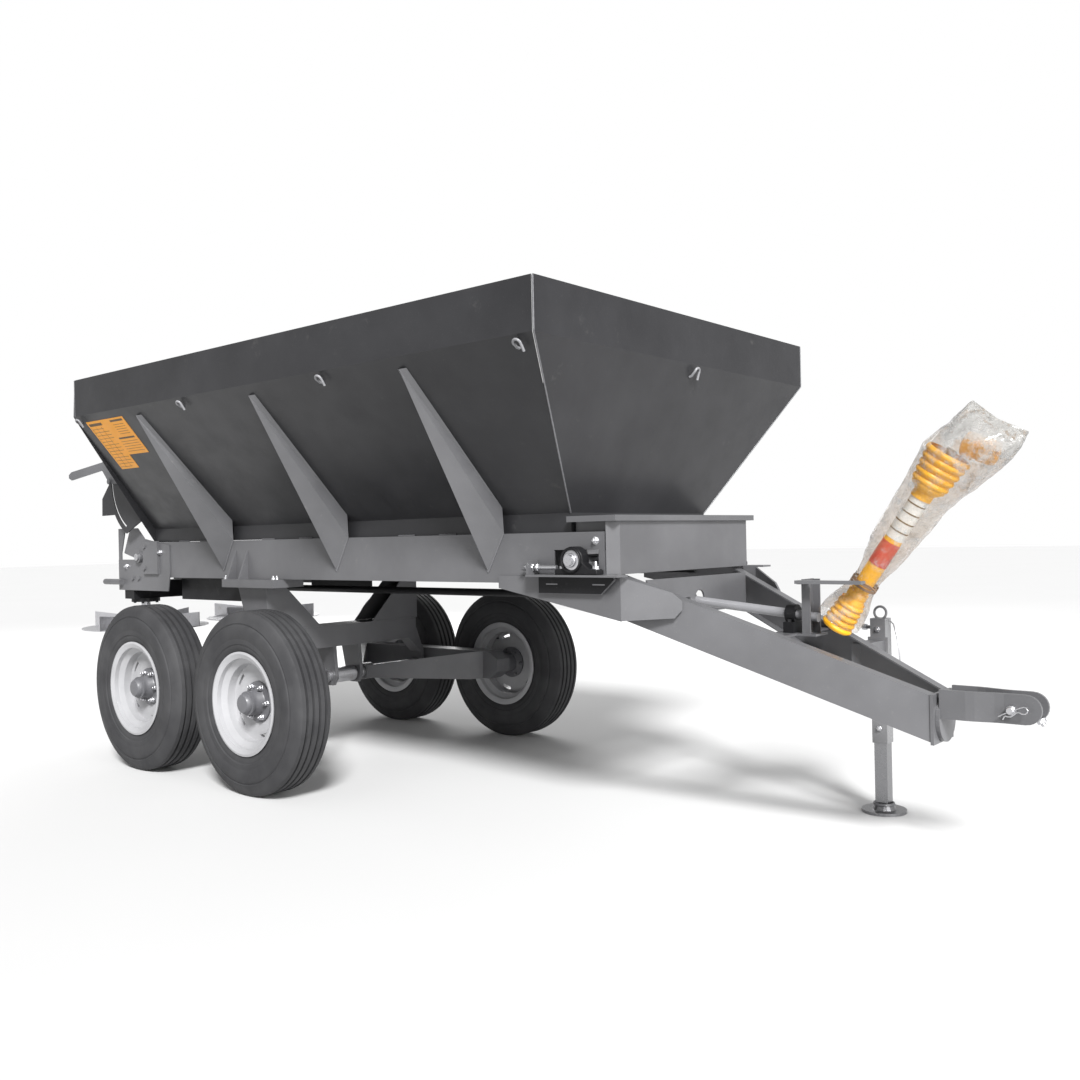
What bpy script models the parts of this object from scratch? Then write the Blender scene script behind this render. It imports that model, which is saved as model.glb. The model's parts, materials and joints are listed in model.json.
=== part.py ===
"""Towed lime and fertiliser spreader with a belt floor and two spinning discs.

Machine frame: +X points forward to the hitch, +Y to the machine's left, +Z up.
X is counted from the hopper's front top edge, and the ROOT empty shifts the whole
machine so that the middle of its length stands over the origin. Ground is Z = 0.
"""
import math

import bmesh
import bpy
from mathutils import Matrix, Vector

# ---------------------------------------------------------------- driving sizes
NAME = "garden_spreader"
SHIFT = 1.289           # machine frame X = 0 stands here in the world
GAP = 0.0005            # clearance between neighbouring pieces

RIM_Z = 1.9625          # hopper top edge
BAND_Z = 1.775          # lower edge of the vertical band
WALL_Z = 1.191          # lower edge of the sloping walls
SKIRT_Z = 1.119         # lower edge of the upright skirt
TOP_Y = 0.9587          # half width at the top
FLOOR_Y = 0.4755        # half width at the bottom
REAR_X = -3.118
REAR_LEAN = 0.087
FRONT_LEAN = 0.244
SHEET = 0.005
LIP = 0.035

BEAM_Y = 0.50
BEAM_TOP = 1.1176
BEAM_BOTTOM = 0.9245
BEAM_FRONT = -0.073
BEAM_REAR = -3.25
BEAM_WALL = 0.006
BEAM_FLANGE = 0.06

ROLLER_R = 0.0555
BELT_THICK = 0.008
BELT_PLAY = 0.0012      # the belt's bend is a polygon, so it keeps clear of the roller
FRONT_ROLLER = (-0.187, 1.014)
REAR_ROLLER = (-3.311, 1.038)
BELT_HALF = 0.40
SHAFT_R = 0.020
BED_TOP = 1.064
BED_SHEET = 0.006
BED_HALF = 0.4935

TYRE_R = 0.404
AXLE_X = (-1.727, -2.636)
TRACK_Y = 0.841
PIVOT = (-2.1815, 0.40)
PIVOT_R = 0.030

DISC_X = -3.453
DISC_Y = 0.40
DISC_R = 0.345
DISC_TOP = 0.64
VANE_R = 0.37

DRIVE_R = 0.0175
DRIVE_Z = 0.850
GEARBOX_Z = (0.80, 0.90)

DRAWBAR_REAR = (-0.06, 0.444, 0.957)
DRAWBAR_FRONT = (0.95, 0.09, 0.55)
DRAWBAR_DEPTH = 0.157
DRAWBAR_FLANGE = 0.05

HITCH_Z = 0.465
EYE_Z = 0.518
PIN_X = 1.196
PIN_R = 0.015

JACK_X = 0.578
JACK_Y = 0.42

PTO_START = (0.60, 0.0, 0.777)
PTO_END = (0.994, 0.0, 1.344)

LEVER_PIVOT = (-3.212, 1.47)
LEVER_Y = 0.56
CRANK_R = 0.12
CRANK_ANGLE = 29.0

SIDES = (("right", -1.0), ("left", 1.0))


# ------------------------------------------------------------------- scene tools
def clear_scene():
    for obj in list(bpy.data.objects):
        bpy.data.objects.remove(obj, do_unlink=True)


def new_collection(name):
    collection = bpy.data.collections.new(name)
    bpy.context.scene.collection.children.link(collection)
    return collection


def new_root():
    root = bpy.data.objects.new(NAME + "_origin", None)
    root.location = (SHIFT, 0.0, 0.0)
    bpy.context.scene.collection.objects.link(root)
    return root


clear_scene()
PARTS = new_collection(NAME)
CUTTERS = new_collection("cutters")
ROOT = new_root()


def material(name, colour, roughness, metallic=0.0):
    mat = bpy.data.materials.new(name)
    mat.use_nodes = True
    shader = mat.node_tree.nodes["Principled BSDF"]
    shader.inputs["Base Color"].default_value = (*colour, 1.0)
    shader.inputs["Roughness"].default_value = roughness
    shader.inputs["Metallic"].default_value = metallic
    mat.diffuse_color = (*colour, 1.0)
    return mat


HOPPER_PAINT = material("hopper_paint", (0.20, 0.20, 0.22), 0.45)
FRAME_PAINT = material("frame_paint", (0.24, 0.24, 0.26), 0.45)
DARK_STEEL = material("dark_steel", (0.03, 0.03, 0.035), 0.5)
BRIGHT_STEEL = material("bright_steel", (0.62, 0.62, 0.64), 0.3, 0.9)
RIM_PAINT = material("rim_paint", (0.72, 0.72, 0.74), 0.35, 0.4)
TYRE_RUBBER = material("tyre_rubber", (0.05, 0.05, 0.055), 0.75)
BELT_RUBBER = material("belt_rubber", (0.02, 0.02, 0.02), 0.8)
GUARD_PLASTIC = material("guard_plastic", (0.95, 0.55, 0.02), 0.4)
YOKE_PAINT = material("yoke_paint", (0.75, 0.30, 0.03), 0.4)
FILM = material("film", (0.80, 0.78, 0.72), 0.2)


def place(obj, name, mat, collection=None):
    """Name an object, give it its paint, and hang it on the root."""
    obj.name = name
    for old in list(obj.users_collection):
        old.objects.unlink(obj)
    (collection or PARTS).objects.link(obj)
    obj.parent = ROOT
    if mat is not None:
        obj.data.materials.clear()
        obj.data.materials.append(mat)
    return obj


def as_tool(obj):
    """Move an object to the cutters: it only shapes another one."""
    for old in list(obj.users_collection):
        old.objects.unlink(obj)
    CUTTERS.objects.link(obj)
    obj.hide_render = True
    obj.display_type = "WIRE"
    return obj


def boolean(base, tool, operation):
    modifier = base.modifiers.new(operation.lower(), "BOOLEAN")
    modifier.operation = operation
    modifier.solver = "EXACT"
    modifier.object = as_tool(tool)
    return base


def join(base, *tools):
    for tool in tools:
        boolean(base, tool, "UNION")
    return base


def cut(base, *tools):
    for tool in tools:
        boolean(base, tool, "DIFFERENCE")
    return base


def from_bmesh(mesh_data, name, mat, smooth=None):
    mesh = bpy.data.meshes.new(name)
    bmesh.ops.recalc_face_normals(mesh_data, faces=mesh_data.faces)
    mesh_data.to_mesh(mesh)
    mesh_data.free()
    if smooth is not None:
        mesh.shade_smooth()
        mesh.set_sharp_from_angle(angle=math.radians(smooth))
    return place(bpy.data.objects.new(name, mesh), name, mat)


# ------------------------------------------------------------------ basic shapes
def box(name, low, high, mat=None, pitch=0.0, roll=0.0, yaw=0.0):
    """Box between two corners, turned about its own centre by angles in degrees."""
    low = Vector(low)
    high = Vector(high)
    mesh_data = bmesh.new()
    bmesh.ops.create_cube(mesh_data, size=1.0, matrix=Matrix.Diagonal((*(high - low), 1.0)))
    obj = from_bmesh(mesh_data, name, mat)
    obj.location = (low + high) / 2
    obj.rotation_euler = (math.radians(roll), math.radians(pitch), math.radians(yaw))
    return obj


def rod(name, start, end, radius, mat=None, segments=20, end_radius=None):
    """Round bar or cone from start to end; its local Z runs along it."""
    start = Vector(start)
    end = Vector(end)
    run = end - start
    mesh_data = bmesh.new()
    bmesh.ops.create_cone(mesh_data, cap_ends=True, segments=segments, radius1=radius,
                          radius2=radius if end_radius is None else end_radius,
                          depth=run.length)
    obj = from_bmesh(mesh_data, name, mat, smooth=35)
    obj.location = (start + end) / 2
    obj.rotation_mode = "QUATERNION"
    obj.rotation_quaternion = run.to_track_quat("Z", "Y")
    return obj


PLATE_TURN = {"x": (90.0, 0.0, 90.0), "y": (90.0, 0.0, 0.0), "z": (0.0, 0.0, 0.0)}


def plate(name, outline, axis, low, high, mat=None):
    """Flat plate: an outline in the two other axes, between low and high on one axis.

    Outlines are (y, z) for axis x, (x, z) for axis y and (x, y) for axis z.
    """
    curve = bpy.data.curves.new(name, "CURVE")
    curve.dimensions = "2D"
    curve.fill_mode = "BOTH"
    curve.extrude = abs(high - low) / 2
    spline = curve.splines.new("POLY")
    spline.points.add(len(outline) - 1)
    for point, (u, v) in zip(spline.points, outline):
        point.co = (u, v, 0.0, 1.0)
    spline.use_cyclic_u = True
    drawn = bpy.data.objects.new(name + "_outline", curve)
    bpy.context.scene.collection.objects.link(drawn)
    bpy.context.view_layer.update()
    graph = bpy.context.evaluated_depsgraph_get()
    mesh = bpy.data.meshes.new_from_object(drawn.evaluated_get(graph))
    bpy.data.objects.remove(drawn, do_unlink=True)
    welded = bmesh.new()
    welded.from_mesh(mesh)
    bmesh.ops.remove_doubles(welded, verts=welded.verts, dist=0.00001)
    obj = from_bmesh(welded, name, mat)
    middle = (low + high) / 2
    obj.location = {"x": (middle, 0, 0), "y": (0, middle, 0), "z": (0, 0, middle)}[axis]
    obj.rotation_euler = [math.radians(a) for a in PLATE_TURN[axis]]
    return obj


def loft(name, sections, mat=None, smooth=None):
    """Closed body through sections that share a point count, capped at both ends."""
    mesh_data = bmesh.new()
    rings = [[mesh_data.verts.new(p) for p in section] for section in sections]
    count = len(sections[0])
    for near, far in zip(rings, rings[1:]):
        for i in range(count):
            j = (i + 1) % count
            mesh_data.faces.new((near[i], near[j], far[j], far[i]))
    mesh_data.faces.new(rings[0])
    mesh_data.faces.new(list(reversed(rings[-1])))
    return from_bmesh(mesh_data, name, mat, smooth)


def inner_line(line, thickness, turn):
    """A folded line moved sideways by a thickness: turn is 1 to its right, -1 to its left."""
    directions = [(Vector(q) - Vector(p)).normalized() for p, q in zip(line, line[1:])]
    normals = [Vector((d.y, -d.x)) * turn for d in directions]
    moved = []
    for i, point in enumerate(line):
        before = normals[max(i - 1, 0)]
        after = normals[min(i, len(normals) - 1)]
        moved.append(Vector(point) + (before + after) * thickness / (1.0 + before.dot(after)))
    return moved


def turned(name, profile, centre, direction, mat, segments):
    """Closed (radius, height) profile, clockwise from its outer top, spun about an axis."""
    outline = bmesh.new()
    points = [outline.verts.new((r, 0.0, h)) for r, h in profile]
    for i, point in enumerate(points):
        outline.edges.new((point, points[(i + 1) % len(points)]))
    mesh = bpy.data.meshes.new(name)
    outline.to_mesh(mesh)
    outline.free()
    obj = place(bpy.data.objects.new(name, mesh), name, mat)
    screw = obj.modifiers.new("turn", "SCREW")
    screw.steps = segments
    screw.render_steps = segments
    screw.use_merge_vertices = True
    screw.merge_threshold = 0.00005
    screw.use_smooth_shade = False
    obj.location = centre
    obj.rotation_mode = "QUATERNION"
    obj.rotation_quaternion = Vector(direction).to_track_quat("Z", "Y")
    return obj


def arc(centre, radius, first, last, count):
    """Points on a circle between two angles in degrees."""
    points = []
    for i in range(count):
        angle = math.radians(first + (last - first) * i / (count - 1))
        points.append((centre[0] + radius * math.cos(angle),
                       centre[1] + radius * math.sin(angle)))
    return points


def ordered(low, high, side):
    """Corners of a box whose Y was given for the left side, moved to one side."""
    y0, y1 = sorted((low[1] * side, high[1] * side))
    return (low[0], y0, low[2]), (high[0], y1, high[2])


def side_box(name, low, high, side, mat=None, **turns):
    low, high = ordered(low, high, side)
    return box(name, low, high, mat, **turns)


def side_plate(name, outline, low, high, side, mat=None):
    y0, y1 = sorted((low * side, high * side))
    return plate(name, outline, "y", y0, y1, mat)


# ------------------------------------------------------------------------ hopper
def rear_x(z):
    """X of the rear wall's outer face at a height; it leans back going down."""
    return REAR_X - REAR_LEAN * (RIM_Z - z) / (RIM_Z - WALL_Z)


def side_y(z):
    """Half width of the hopper at a height on its sloping walls."""
    return FLOOR_Y + (z - WALL_Z) * (TOP_Y - FLOOR_Y) / (BAND_Z - WALL_Z)


def hopper_levels():
    """(half width, z, front x, rear x) from the inner lip down to the skirt."""
    return (
        (TOP_Y - LIP, RIM_Z, -LIP, REAR_X + LIP),
        (TOP_Y, RIM_Z, 0.0, REAR_X),
        (TOP_Y, BAND_Z, 0.0, rear_x(BAND_Z)),
        (FLOOR_Y, WALL_Z, -FRONT_LEAN, rear_x(WALL_Z)),
        (FLOOR_Y, SKIRT_Z, -FRONT_LEAN, rear_x(SKIRT_Z)),
    )


def hopper_side(label, side):
    levels = hopper_levels()
    outer = [Vector((y, z)) for y, z, front, rear in levels]
    inner = inner_line(outer, SHEET, 1)
    step = SHEET + 0.0012
    sections = []
    for column, inset in ((2, -step), (3, step)):
        ends = [level[column] + inset for level in levels]
        section = [(x, side * p.x, p.y) for x, p in zip(ends, outer)]
        mitred = [x + inset for x in ends]
        section += [(x, side * p.x, p.y) for x, p in reversed(list(zip(mitred, inner)))]
        sections.append(section)
    loft("hopper_side_" + label, sections, HOPPER_PAINT)


def hopper_end(name, column, turn):
    """Front (column 2) or rear (column 3) wall, across the full width."""
    levels = hopper_levels()
    outer = [Vector((level[column], level[1])) for level in levels]
    inner = inner_line(outer, SHEET, turn)
    sections = []
    for sign in (-1.0, 1.0):
        halves = [sign * level[0] for level in levels]
        section = [(p.x, y, p.y) for y, p in zip(halves, outer)]
        section += [(p.x, y, p.y) for y, p in reversed(list(zip(halves, inner)))]
        sections.append(section)
    return loft(name, sections, HOPPER_PAINT)


GATE_LOW = 1.245
GATE_HIGH = 1.415
GATE_HALF = 0.325
LEAN_DEG = math.degrees(math.atan2(REAR_LEAN, RIM_Z - WALL_Z))


def leaning_box(name, y0, y1, z0, z1, near, far, mat=None):
    """Box on the rear wall, from near to far behind its outer face."""
    middle = (z0 + z1) / 2
    face = rear_x(middle)
    return box(name, (face - far, y0, z0), (face - near, y1, z1), mat, pitch=LEAN_DEG)


def hopper_rear():
    wall = hopper_end("hopper_rear_wall", 3, -1)
    cut(wall, box("outlet_cut", (-3.30, -0.31, 1.00), (-3.10, 0.31, 1.24)))
    for label, side in SIDES:
        inner = sorted((side * (GATE_HALF + 0.002), side * 0.365))
        cover = sorted((side * 0.305, side * 0.365))
        join(wall, leaning_box("rail_bar_" + label, *inner, 1.125, 1.56, -0.001, 0.010))
        join(wall, leaning_box("rail_cover_" + label, *cover, 1.125, 1.56, 0.0095, 0.014))
        lug_y = side * 0.45
        px, pz = LEVER_PIVOT
        outline = [(rear_x(1.53) + 0.002, 1.53), (px - 0.01, pz + 0.035), (px - 0.03, pz),
                   (px - 0.01, pz - 0.035), (rear_x(1.41) + 0.002, 1.41)]
        lug = plate("shaft_lug_" + label, outline, "y", lug_y - 0.004, lug_y + 0.004)
        join(wall, lug)
        cut(wall, rod("shaft_bore_" + label, (px, lug_y - 0.03, pz), (px, lug_y + 0.03, pz),
                      0.0128))
    add_quadrant(wall)


def gate():
    plate_body = leaning_box("gate", -GATE_HALF, GATE_HALF, GATE_LOW, GATE_HIGH,
                             0.001, 0.0075, FRAME_PAINT)
    reach = CRANK_R * math.cos(math.radians(CRANK_ANGLE))
    pin_z = LEVER_PIVOT[1] + CRANK_R * math.sin(math.radians(CRANK_ANGLE))
    for offset in (-0.10, 0.10):
        outline = [(rear_x(1.36) - 0.003, 1.36), (rear_x(1.40) - 0.003, 1.40),
                   (LEVER_PIVOT[0] - reach - 0.045, pin_z + 0.022),
                   (LEVER_PIVOT[0] - reach - 0.045, pin_z - 0.022)]
        join(plate_body, plate("gate_arm", outline, "y", offset - 0.004, offset + 0.004))
        slot_low = (LEVER_PIVOT[0] - reach - 0.034, offset - 0.02, pin_z - 0.0115)
        slot_high = (LEVER_PIVOT[0] - reach + 0.014, offset + 0.02, pin_z + 0.0115)
        cut(plate_body, box("gate_slot", slot_low, slot_high))


def gate_lever():
    px, pz = LEVER_PIVOT
    shaft = rod("gate_lever", (px, -LEVER_Y - 0.012, pz), (px, 0.48, pz), 0.012, FRAME_PAINT)
    angle = math.radians(CRANK_ANGLE)
    tip = (px - CRANK_R * math.cos(angle), pz + CRANK_R * math.sin(angle))
    for offset in (-0.13, 0.07):
        crank = loft("crank", [
            [(px, offset, pz - 0.014), (px, offset, pz + 0.014),
             (tip[0], offset, tip[1] + 0.012), (tip[0], offset, tip[1] - 0.012)],
            [(px, offset + 0.008, pz - 0.014), (px, offset + 0.008, pz + 0.014),
             (tip[0], offset + 0.008, tip[1] + 0.012), (tip[0], offset + 0.008, tip[1] - 0.012)]])
        pin = rod("crank_pin", (tip[0], offset + 0.004, tip[1]),
                  (tip[0], offset + 0.045, tip[1]), 0.006, segments=12)
        join(shaft, crank, pin)
    y0 = -LEVER_Y - 0.010
    y1 = -LEVER_Y - 0.002
    inner = [(px + 0.02, pz - 0.022), (px + 0.02, pz + 0.022), (px - 0.385, pz + 0.117),
             (px - 0.395, pz + 0.073), (px - 0.31, pz - 0.012), (px - 0.29, pz - 0.014)]
    join(shaft, plate("lever_root", inner, "y", y0, y1))
    bend = [(px - 0.38, y0, pz + 0.070), (px - 0.38, y0, pz + 0.116),
            (px - 0.38, y1, pz + 0.116), (px - 0.38, y1, pz + 0.070)]
    end = [(-3.84, -0.634, 1.492), (-3.84, -0.634, 1.540),
           (-3.84, -0.626, 1.540), (-3.84, -0.626, 1.492)]
    nose = [(-3.8625, -0.638, 1.505), (-3.8625, -0.638, 1.524),
            (-3.8625, -0.630, 1.524), (-3.8625, -0.630, 1.505)]
    join(shaft, loft("lever_handle", [bend, end, nose]))
    clamp = (px - 0.30, pz)
    join(shaft, rod("lever_clamp", (clamp[0], y1 - 0.020, clamp[1]),
                    (clamp[0], y1 + 0.0015, clamp[1]), 0.016, segments=12),
         rod("clamp_bolt", (clamp[0], y1 - 0.001, clamp[1]), (clamp[0], y1 + 0.014, clamp[1]),
             0.0055, segments=12))


def add_quadrant(wall):
    """Slotted sector that clamps the gate lever, on its own foot on the rear wall."""
    px, pz = LEVER_PIVOT
    y0 = -LEVER_Y + 0.001
    y1 = -LEVER_Y + 0.007
    outline = arc(LEVER_PIVOT, 0.335, 166.0, 243.0, 14)
    outline += [(rear_x(1.20) - 0.004, 1.235), (rear_x(1.56) - 0.004, 1.56)]
    join(wall, plate("gate_quadrant", outline, "y", y0, y1))
    guard = [(-3.500, 1.500), (-3.628, 1.376), (-3.632, 1.278), (-3.43, 1.280), (-3.46, 1.40)]
    join(wall, plate("guard_plate", guard, "y", y0, y1))
    slot = arc(LEVER_PIVOT, 0.307, 176.0, 240.0, 14)
    slot += list(reversed(arc(LEVER_PIVOT, 0.293, 176.0, 240.0, 14)))
    cut(wall, plate("quadrant_slot", slot, "y", y0 - 0.01, y1 + 0.01))
    cut(wall, rod("quadrant_bore", (px, y0 - 0.01, pz), (px, y1 + 0.01, pz), 0.0128))
    join(wall, leaning_box("quadrant_foot", -LEVER_Y + 0.002, -0.50, 1.25, 1.55, -0.001, 0.007))


def rib(number, tip_x, top_x, side, label):
    """Tapered V rib from under the band to a point on the beam's web."""
    top_z = 1.735
    knee_z = WALL_Z + (BEAM_Y - FLOOR_Y) / (TOP_Y - FLOOR_Y) * (BAND_Z - WALL_Z)
    half_top = 0.024
    half_wide = 0.088
    tip_z = 0.966
    off = GAP * 2
    wall = side_y(top_z) + off
    edge = BEAM_Y + off
    ridge_top = (top_x, side * (wall + 0.016), top_z - 0.004)
    back = [(top_x - half_top, side * wall, top_z), (top_x + half_top, side * wall, top_z)]
    knee = [(tip_x - half_wide * 0.93, side * edge, knee_z),
            (tip_x + half_wide * 0.93, side * edge, knee_z)]
    wide = [(tip_x - half_wide, side * edge, BEAM_TOP), (tip_x + half_wide, side * edge, BEAM_TOP)]
    tip = (tip_x, side * edge, tip_z)
    mesh_data = bmesh.new()
    top_rear, top_front = (mesh_data.verts.new(p) for p in back)
    ridge = mesh_data.verts.new(ridge_top)
    knee_rear, knee_front = (mesh_data.verts.new(p) for p in knee)
    wide_rear, wide_front = (mesh_data.verts.new(p) for p in wide)
    point = mesh_data.verts.new(tip)
    mesh_data.faces.new((top_rear, top_front, ridge))
    mesh_data.faces.new((top_rear, knee_rear, knee_front, top_front))
    mesh_data.faces.new((knee_rear, wide_rear, wide_front, knee_front))
    mesh_data.faces.new((wide_rear, point, wide_front))
    mesh_data.faces.new((top_front, knee_front, ridge))
    mesh_data.faces.new((knee_front, wide_front, ridge))
    mesh_data.faces.new((wide_front, point, ridge))
    mesh_data.faces.new((top_rear, ridge, knee_rear))
    mesh_data.faces.new((knee_rear, ridge, wide_rear))
    mesh_data.faces.new((wide_rear, ridge, point))
    from_bmesh(mesh_data, "rib_%s_%d" % (label, number), FRAME_PAINT)


RIBS = ((1, -2.500, -2.543), (2, -1.597, -1.614), (3, -0.651, -0.668))


# ----------------------------------------------------------------------- chassis
def chassis_beam(label, side):
    web = side_box("chassis_beam_" + label, (BEAM_REAR, BEAM_Y - BEAM_WALL, BEAM_BOTTOM),
                   (BEAM_FRONT, BEAM_Y, BEAM_TOP), side, FRAME_PAINT)
    for name, z0, z1 in (("top", BEAM_TOP - BEAM_WALL, BEAM_TOP),
                         ("bottom", BEAM_BOTTOM, BEAM_BOTTOM + BEAM_WALL)):
        join(web, side_box("flange_" + name, (BEAM_REAR, BEAM_Y - BEAM_FLANGE, z0),
                           (BEAM_FRONT, BEAM_Y - 0.001, z1), side))
    cut(web, side_box("bearing_window", (-0.31, 0.40, 0.85), (-0.10, 0.60, 1.052), side))


def front_box():
    front = [(-0.0665, -0.4995), (-0.028, -0.465), (-0.028, 0.465), (-0.0665, 0.4995)]
    back = [(-0.0695, 0.4960), (-0.032, 0.4625), (-0.032, -0.4625), (-0.0695, -0.4960)]
    body = plate("front_box", front + back, "z", 0.960, 1.1700, FRAME_PAINT)
    for label, side in SIDES:
        join(body, side_box("cheek_" + label, (-0.236, 0.452, 1.119), (-0.031, 0.458, 1.1700), side))


def front_lid():
    lid = box("front_lid", (-0.240, -0.51, 1.171), (-0.015, 0.51, 1.177), FRAME_PAINT)
    join(lid, box("lid_front_lip", (-0.019, -0.51, 1.155), (-0.015, 0.51, 1.172)))
    for label, side in SIDES:
        join(lid, side_box("lid_lip_" + label, (-0.240, 0.506, 1.155), (-0.0151, 0.51, 1.172), side))


# ---------------------------------------------------------------------- conveyor
def belt_path(radius, count=13):
    """Outline of a loop round both rollers, in (x, z)."""
    slope = math.degrees(math.atan2(REAR_ROLLER[1] - FRONT_ROLLER[1],
                                    FRONT_ROLLER[0] - REAR_ROLLER[0]))
    front = arc(FRONT_ROLLER, radius, -90 - slope, 90 - slope, count)
    rear = arc(REAR_ROLLER, radius, 90 - slope, 270 - slope, count)
    return front + rear


def conveyor():
    inner = ROLLER_R + BELT_PLAY
    half = BELT_HALF
    belt = plate("conveyor_belt", belt_path(inner + BELT_THICK), "y", -half, half, BELT_RUBBER)
    cut(belt, plate("belt_hollow", belt_path(inner), "y", -half - 0.1, half + 0.1))
    box("conveyor_bed", (-3.235, -BED_HALF, BED_TOP - BED_SHEET), (-0.315, BED_HALF, BED_TOP),
        DARK_STEEL)
    for name, (x, z), reach in (("front_roller", FRONT_ROLLER, 0.575),
                                ("rear_roller", REAR_ROLLER, 0.535)):
        roller = rod(name, (x, -half, z), (x, half, z), ROLLER_R, BRIGHT_STEEL, segments=24)
        join(roller, rod(name + "_shaft", (x, -reach, z), (x, reach, z), SHAFT_R, segments=16))


def front_bearing(label, side):
    x, z = FRONT_ROLLER
    body = side_box("front_bearing_" + label, (-0.268, 0.505, 0.9608), (-0.072, 0.555, 0.992),
                    side, DARK_STEEL)
    join(body, rod("bearing_boss", (x, side * 0.503, z + 0.002), (x, side * 0.562, z + 0.002),
                   0.050, segments=20))
    join(body, side_box("bearing_neck", (x - 0.045, 0.506, 0.970), (x + 0.045, 0.554, 1.010), side))
    cut(body, rod("bearing_bore", (x, side * 0.45, z), (x, side * 0.62, z), SHAFT_R + GAP, segments=16))
    cut(body, side_box("bearing_floor", (-0.30, 0.45, 0.93), (-0.05, 0.62, 0.9608), side))
    for bolt_x in (-0.246, -0.092):
        join(body, rod("bearing_bolt", (bolt_x, side * 0.530, 0.985), (bolt_x, side * 0.530, 1.008),
                       0.013, segments=6))


def front_bracket(label, side):
    """Shelf for the roller bearing, its web, and the fishplate to the drawbar."""
    fish = [(-0.59, 0.904), (0.0, 0.792), (0.0, 0.953), (-0.59, 0.953)]
    body = side_plate("front_bracket_" + label, fish, BEAM_Y + GAP, BEAM_Y + 0.0085, side,
                      FRAME_PAINT)
    y_fold = side * (BEAM_Y + 0.0045)
    y_tip = side * 0.3715
    thick = 0.004
    normal = Vector((0.133, 0.177, 0.0)).normalized() * thick
    shift_x = normal.x
    shift_y = normal.y * side
    fold_x = -0.004
    tip_x = 0.173
    wing = []
    for sign in (-1.0, 1.0):
        wing.append([
            (fold_x + sign * shift_x, y_fold + sign * shift_y, 0.793),
            (0.150 + sign * shift_x, y_tip + side * 0.0168 + sign * shift_y, 0.800),
            (tip_x + sign * shift_x, y_tip + sign * shift_y, 0.830),
            (tip_x + sign * shift_x, y_tip + sign * shift_y, 0.862),
            (0.145 + sign * shift_x, y_tip + side * 0.0206 + sign * shift_y, 0.892),
            (fold_x + sign * shift_x, y_fold + sign * shift_y, 0.952)])
    join(body, loft("fishplate_wing", wing))
    join(body, side_box("shelf", (-0.397, BEAM_Y + 0.001, 0.9525), (0.030, 0.57, 0.9600), side))
    skirt = [(-0.369, 0.888), (-0.072, 0.888), (-0.012, 0.94), (-0.012, 0.954), (-0.369, 0.954)]
    join(body, side_plate("shelf_web", skirt, 0.520, 0.526, side))
    join(body, side_box("screw_lug", (-0.397, 0.503, 0.955), (-0.387, 0.565, 1.012), side))
    y = side * 0.533
    join(body, rod("tension_screw", (-0.425, y, 0.987), (-0.2695, y, 0.987), 0.008, segments=16),
         rod("screw_head", (-0.440, y, 0.987), (-0.424, y, 0.987), 0.0135, segments=6),
         rod("screw_nut", (-0.388, y, 0.987), (-0.370, y, 0.987), 0.0135, segments=6))


# ----------------------------------------------------------------------- drawbar
def drawbar_section(x, y, z, side):
    """U section: web outside, flanges turned in towards the middle."""
    wall = 0.006
    flange = DRAWBAR_FLANGE
    low = z - DRAWBAR_DEPTH
    points = [(0, z), (0, low), (flange, low), (flange, low + wall), (wall, low + wall),
              (wall, z - wall), (flange, z - wall), (flange, z)]
    return [(x, side * (y - inward), height) for inward, height in points]


def drawbar(label, side):
    rear = drawbar_section(*DRAWBAR_REAR, side)
    front = drawbar_section(*DRAWBAR_FRONT, side)
    body = loft("drawbar_" + label, [rear, front], FRAME_PAINT)
    if side > 0:
        join(body, box("jack_arm", (JACK_X - 0.03, 0.212, 0.595), (JACK_X + 0.03, 0.3890, 0.675)))
    return body


def drawbar_panel():
    """Cross panel at the drawbar's root, with the drive shaft's opening."""
    outline = [(-0.365, 0.792), (0.365, 0.792), (0.365, 0.935), (-0.365, 0.935)]
    body = plate("drawbar_panel", outline, "x", 0.012, 0.020, FRAME_PAINT)
    cut(body, rod("panel_hole", (-0.02, 0, 0.848), (0.06, 0, 0.848), 0.034, segments=20))
    cut(body, box("panel_slot", (-0.02, -0.115, 0.842), (0.06, -0.070, 0.856)))
    return body


def drawbar_head():
    """Front plate of the drawbar with the swivel's bearing tube behind it."""
    outline = [(-0.095, 0.385), (0.095, 0.385), (0.095, 0.553), (-0.095, 0.553)]
    body = plate("drawbar_head", outline, "x", 0.9506, 0.9618, FRAME_PAINT)
    join(body, rod("swivel_tube", (0.86, 0, HITCH_Z), (0.952, 0, HITCH_Z), 0.034, segments=20))
    cut(body, rod("swivel_bore", (0.80, 0, HITCH_Z), (1.0, 0, HITCH_Z), 0.0206, segments=20))


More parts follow.
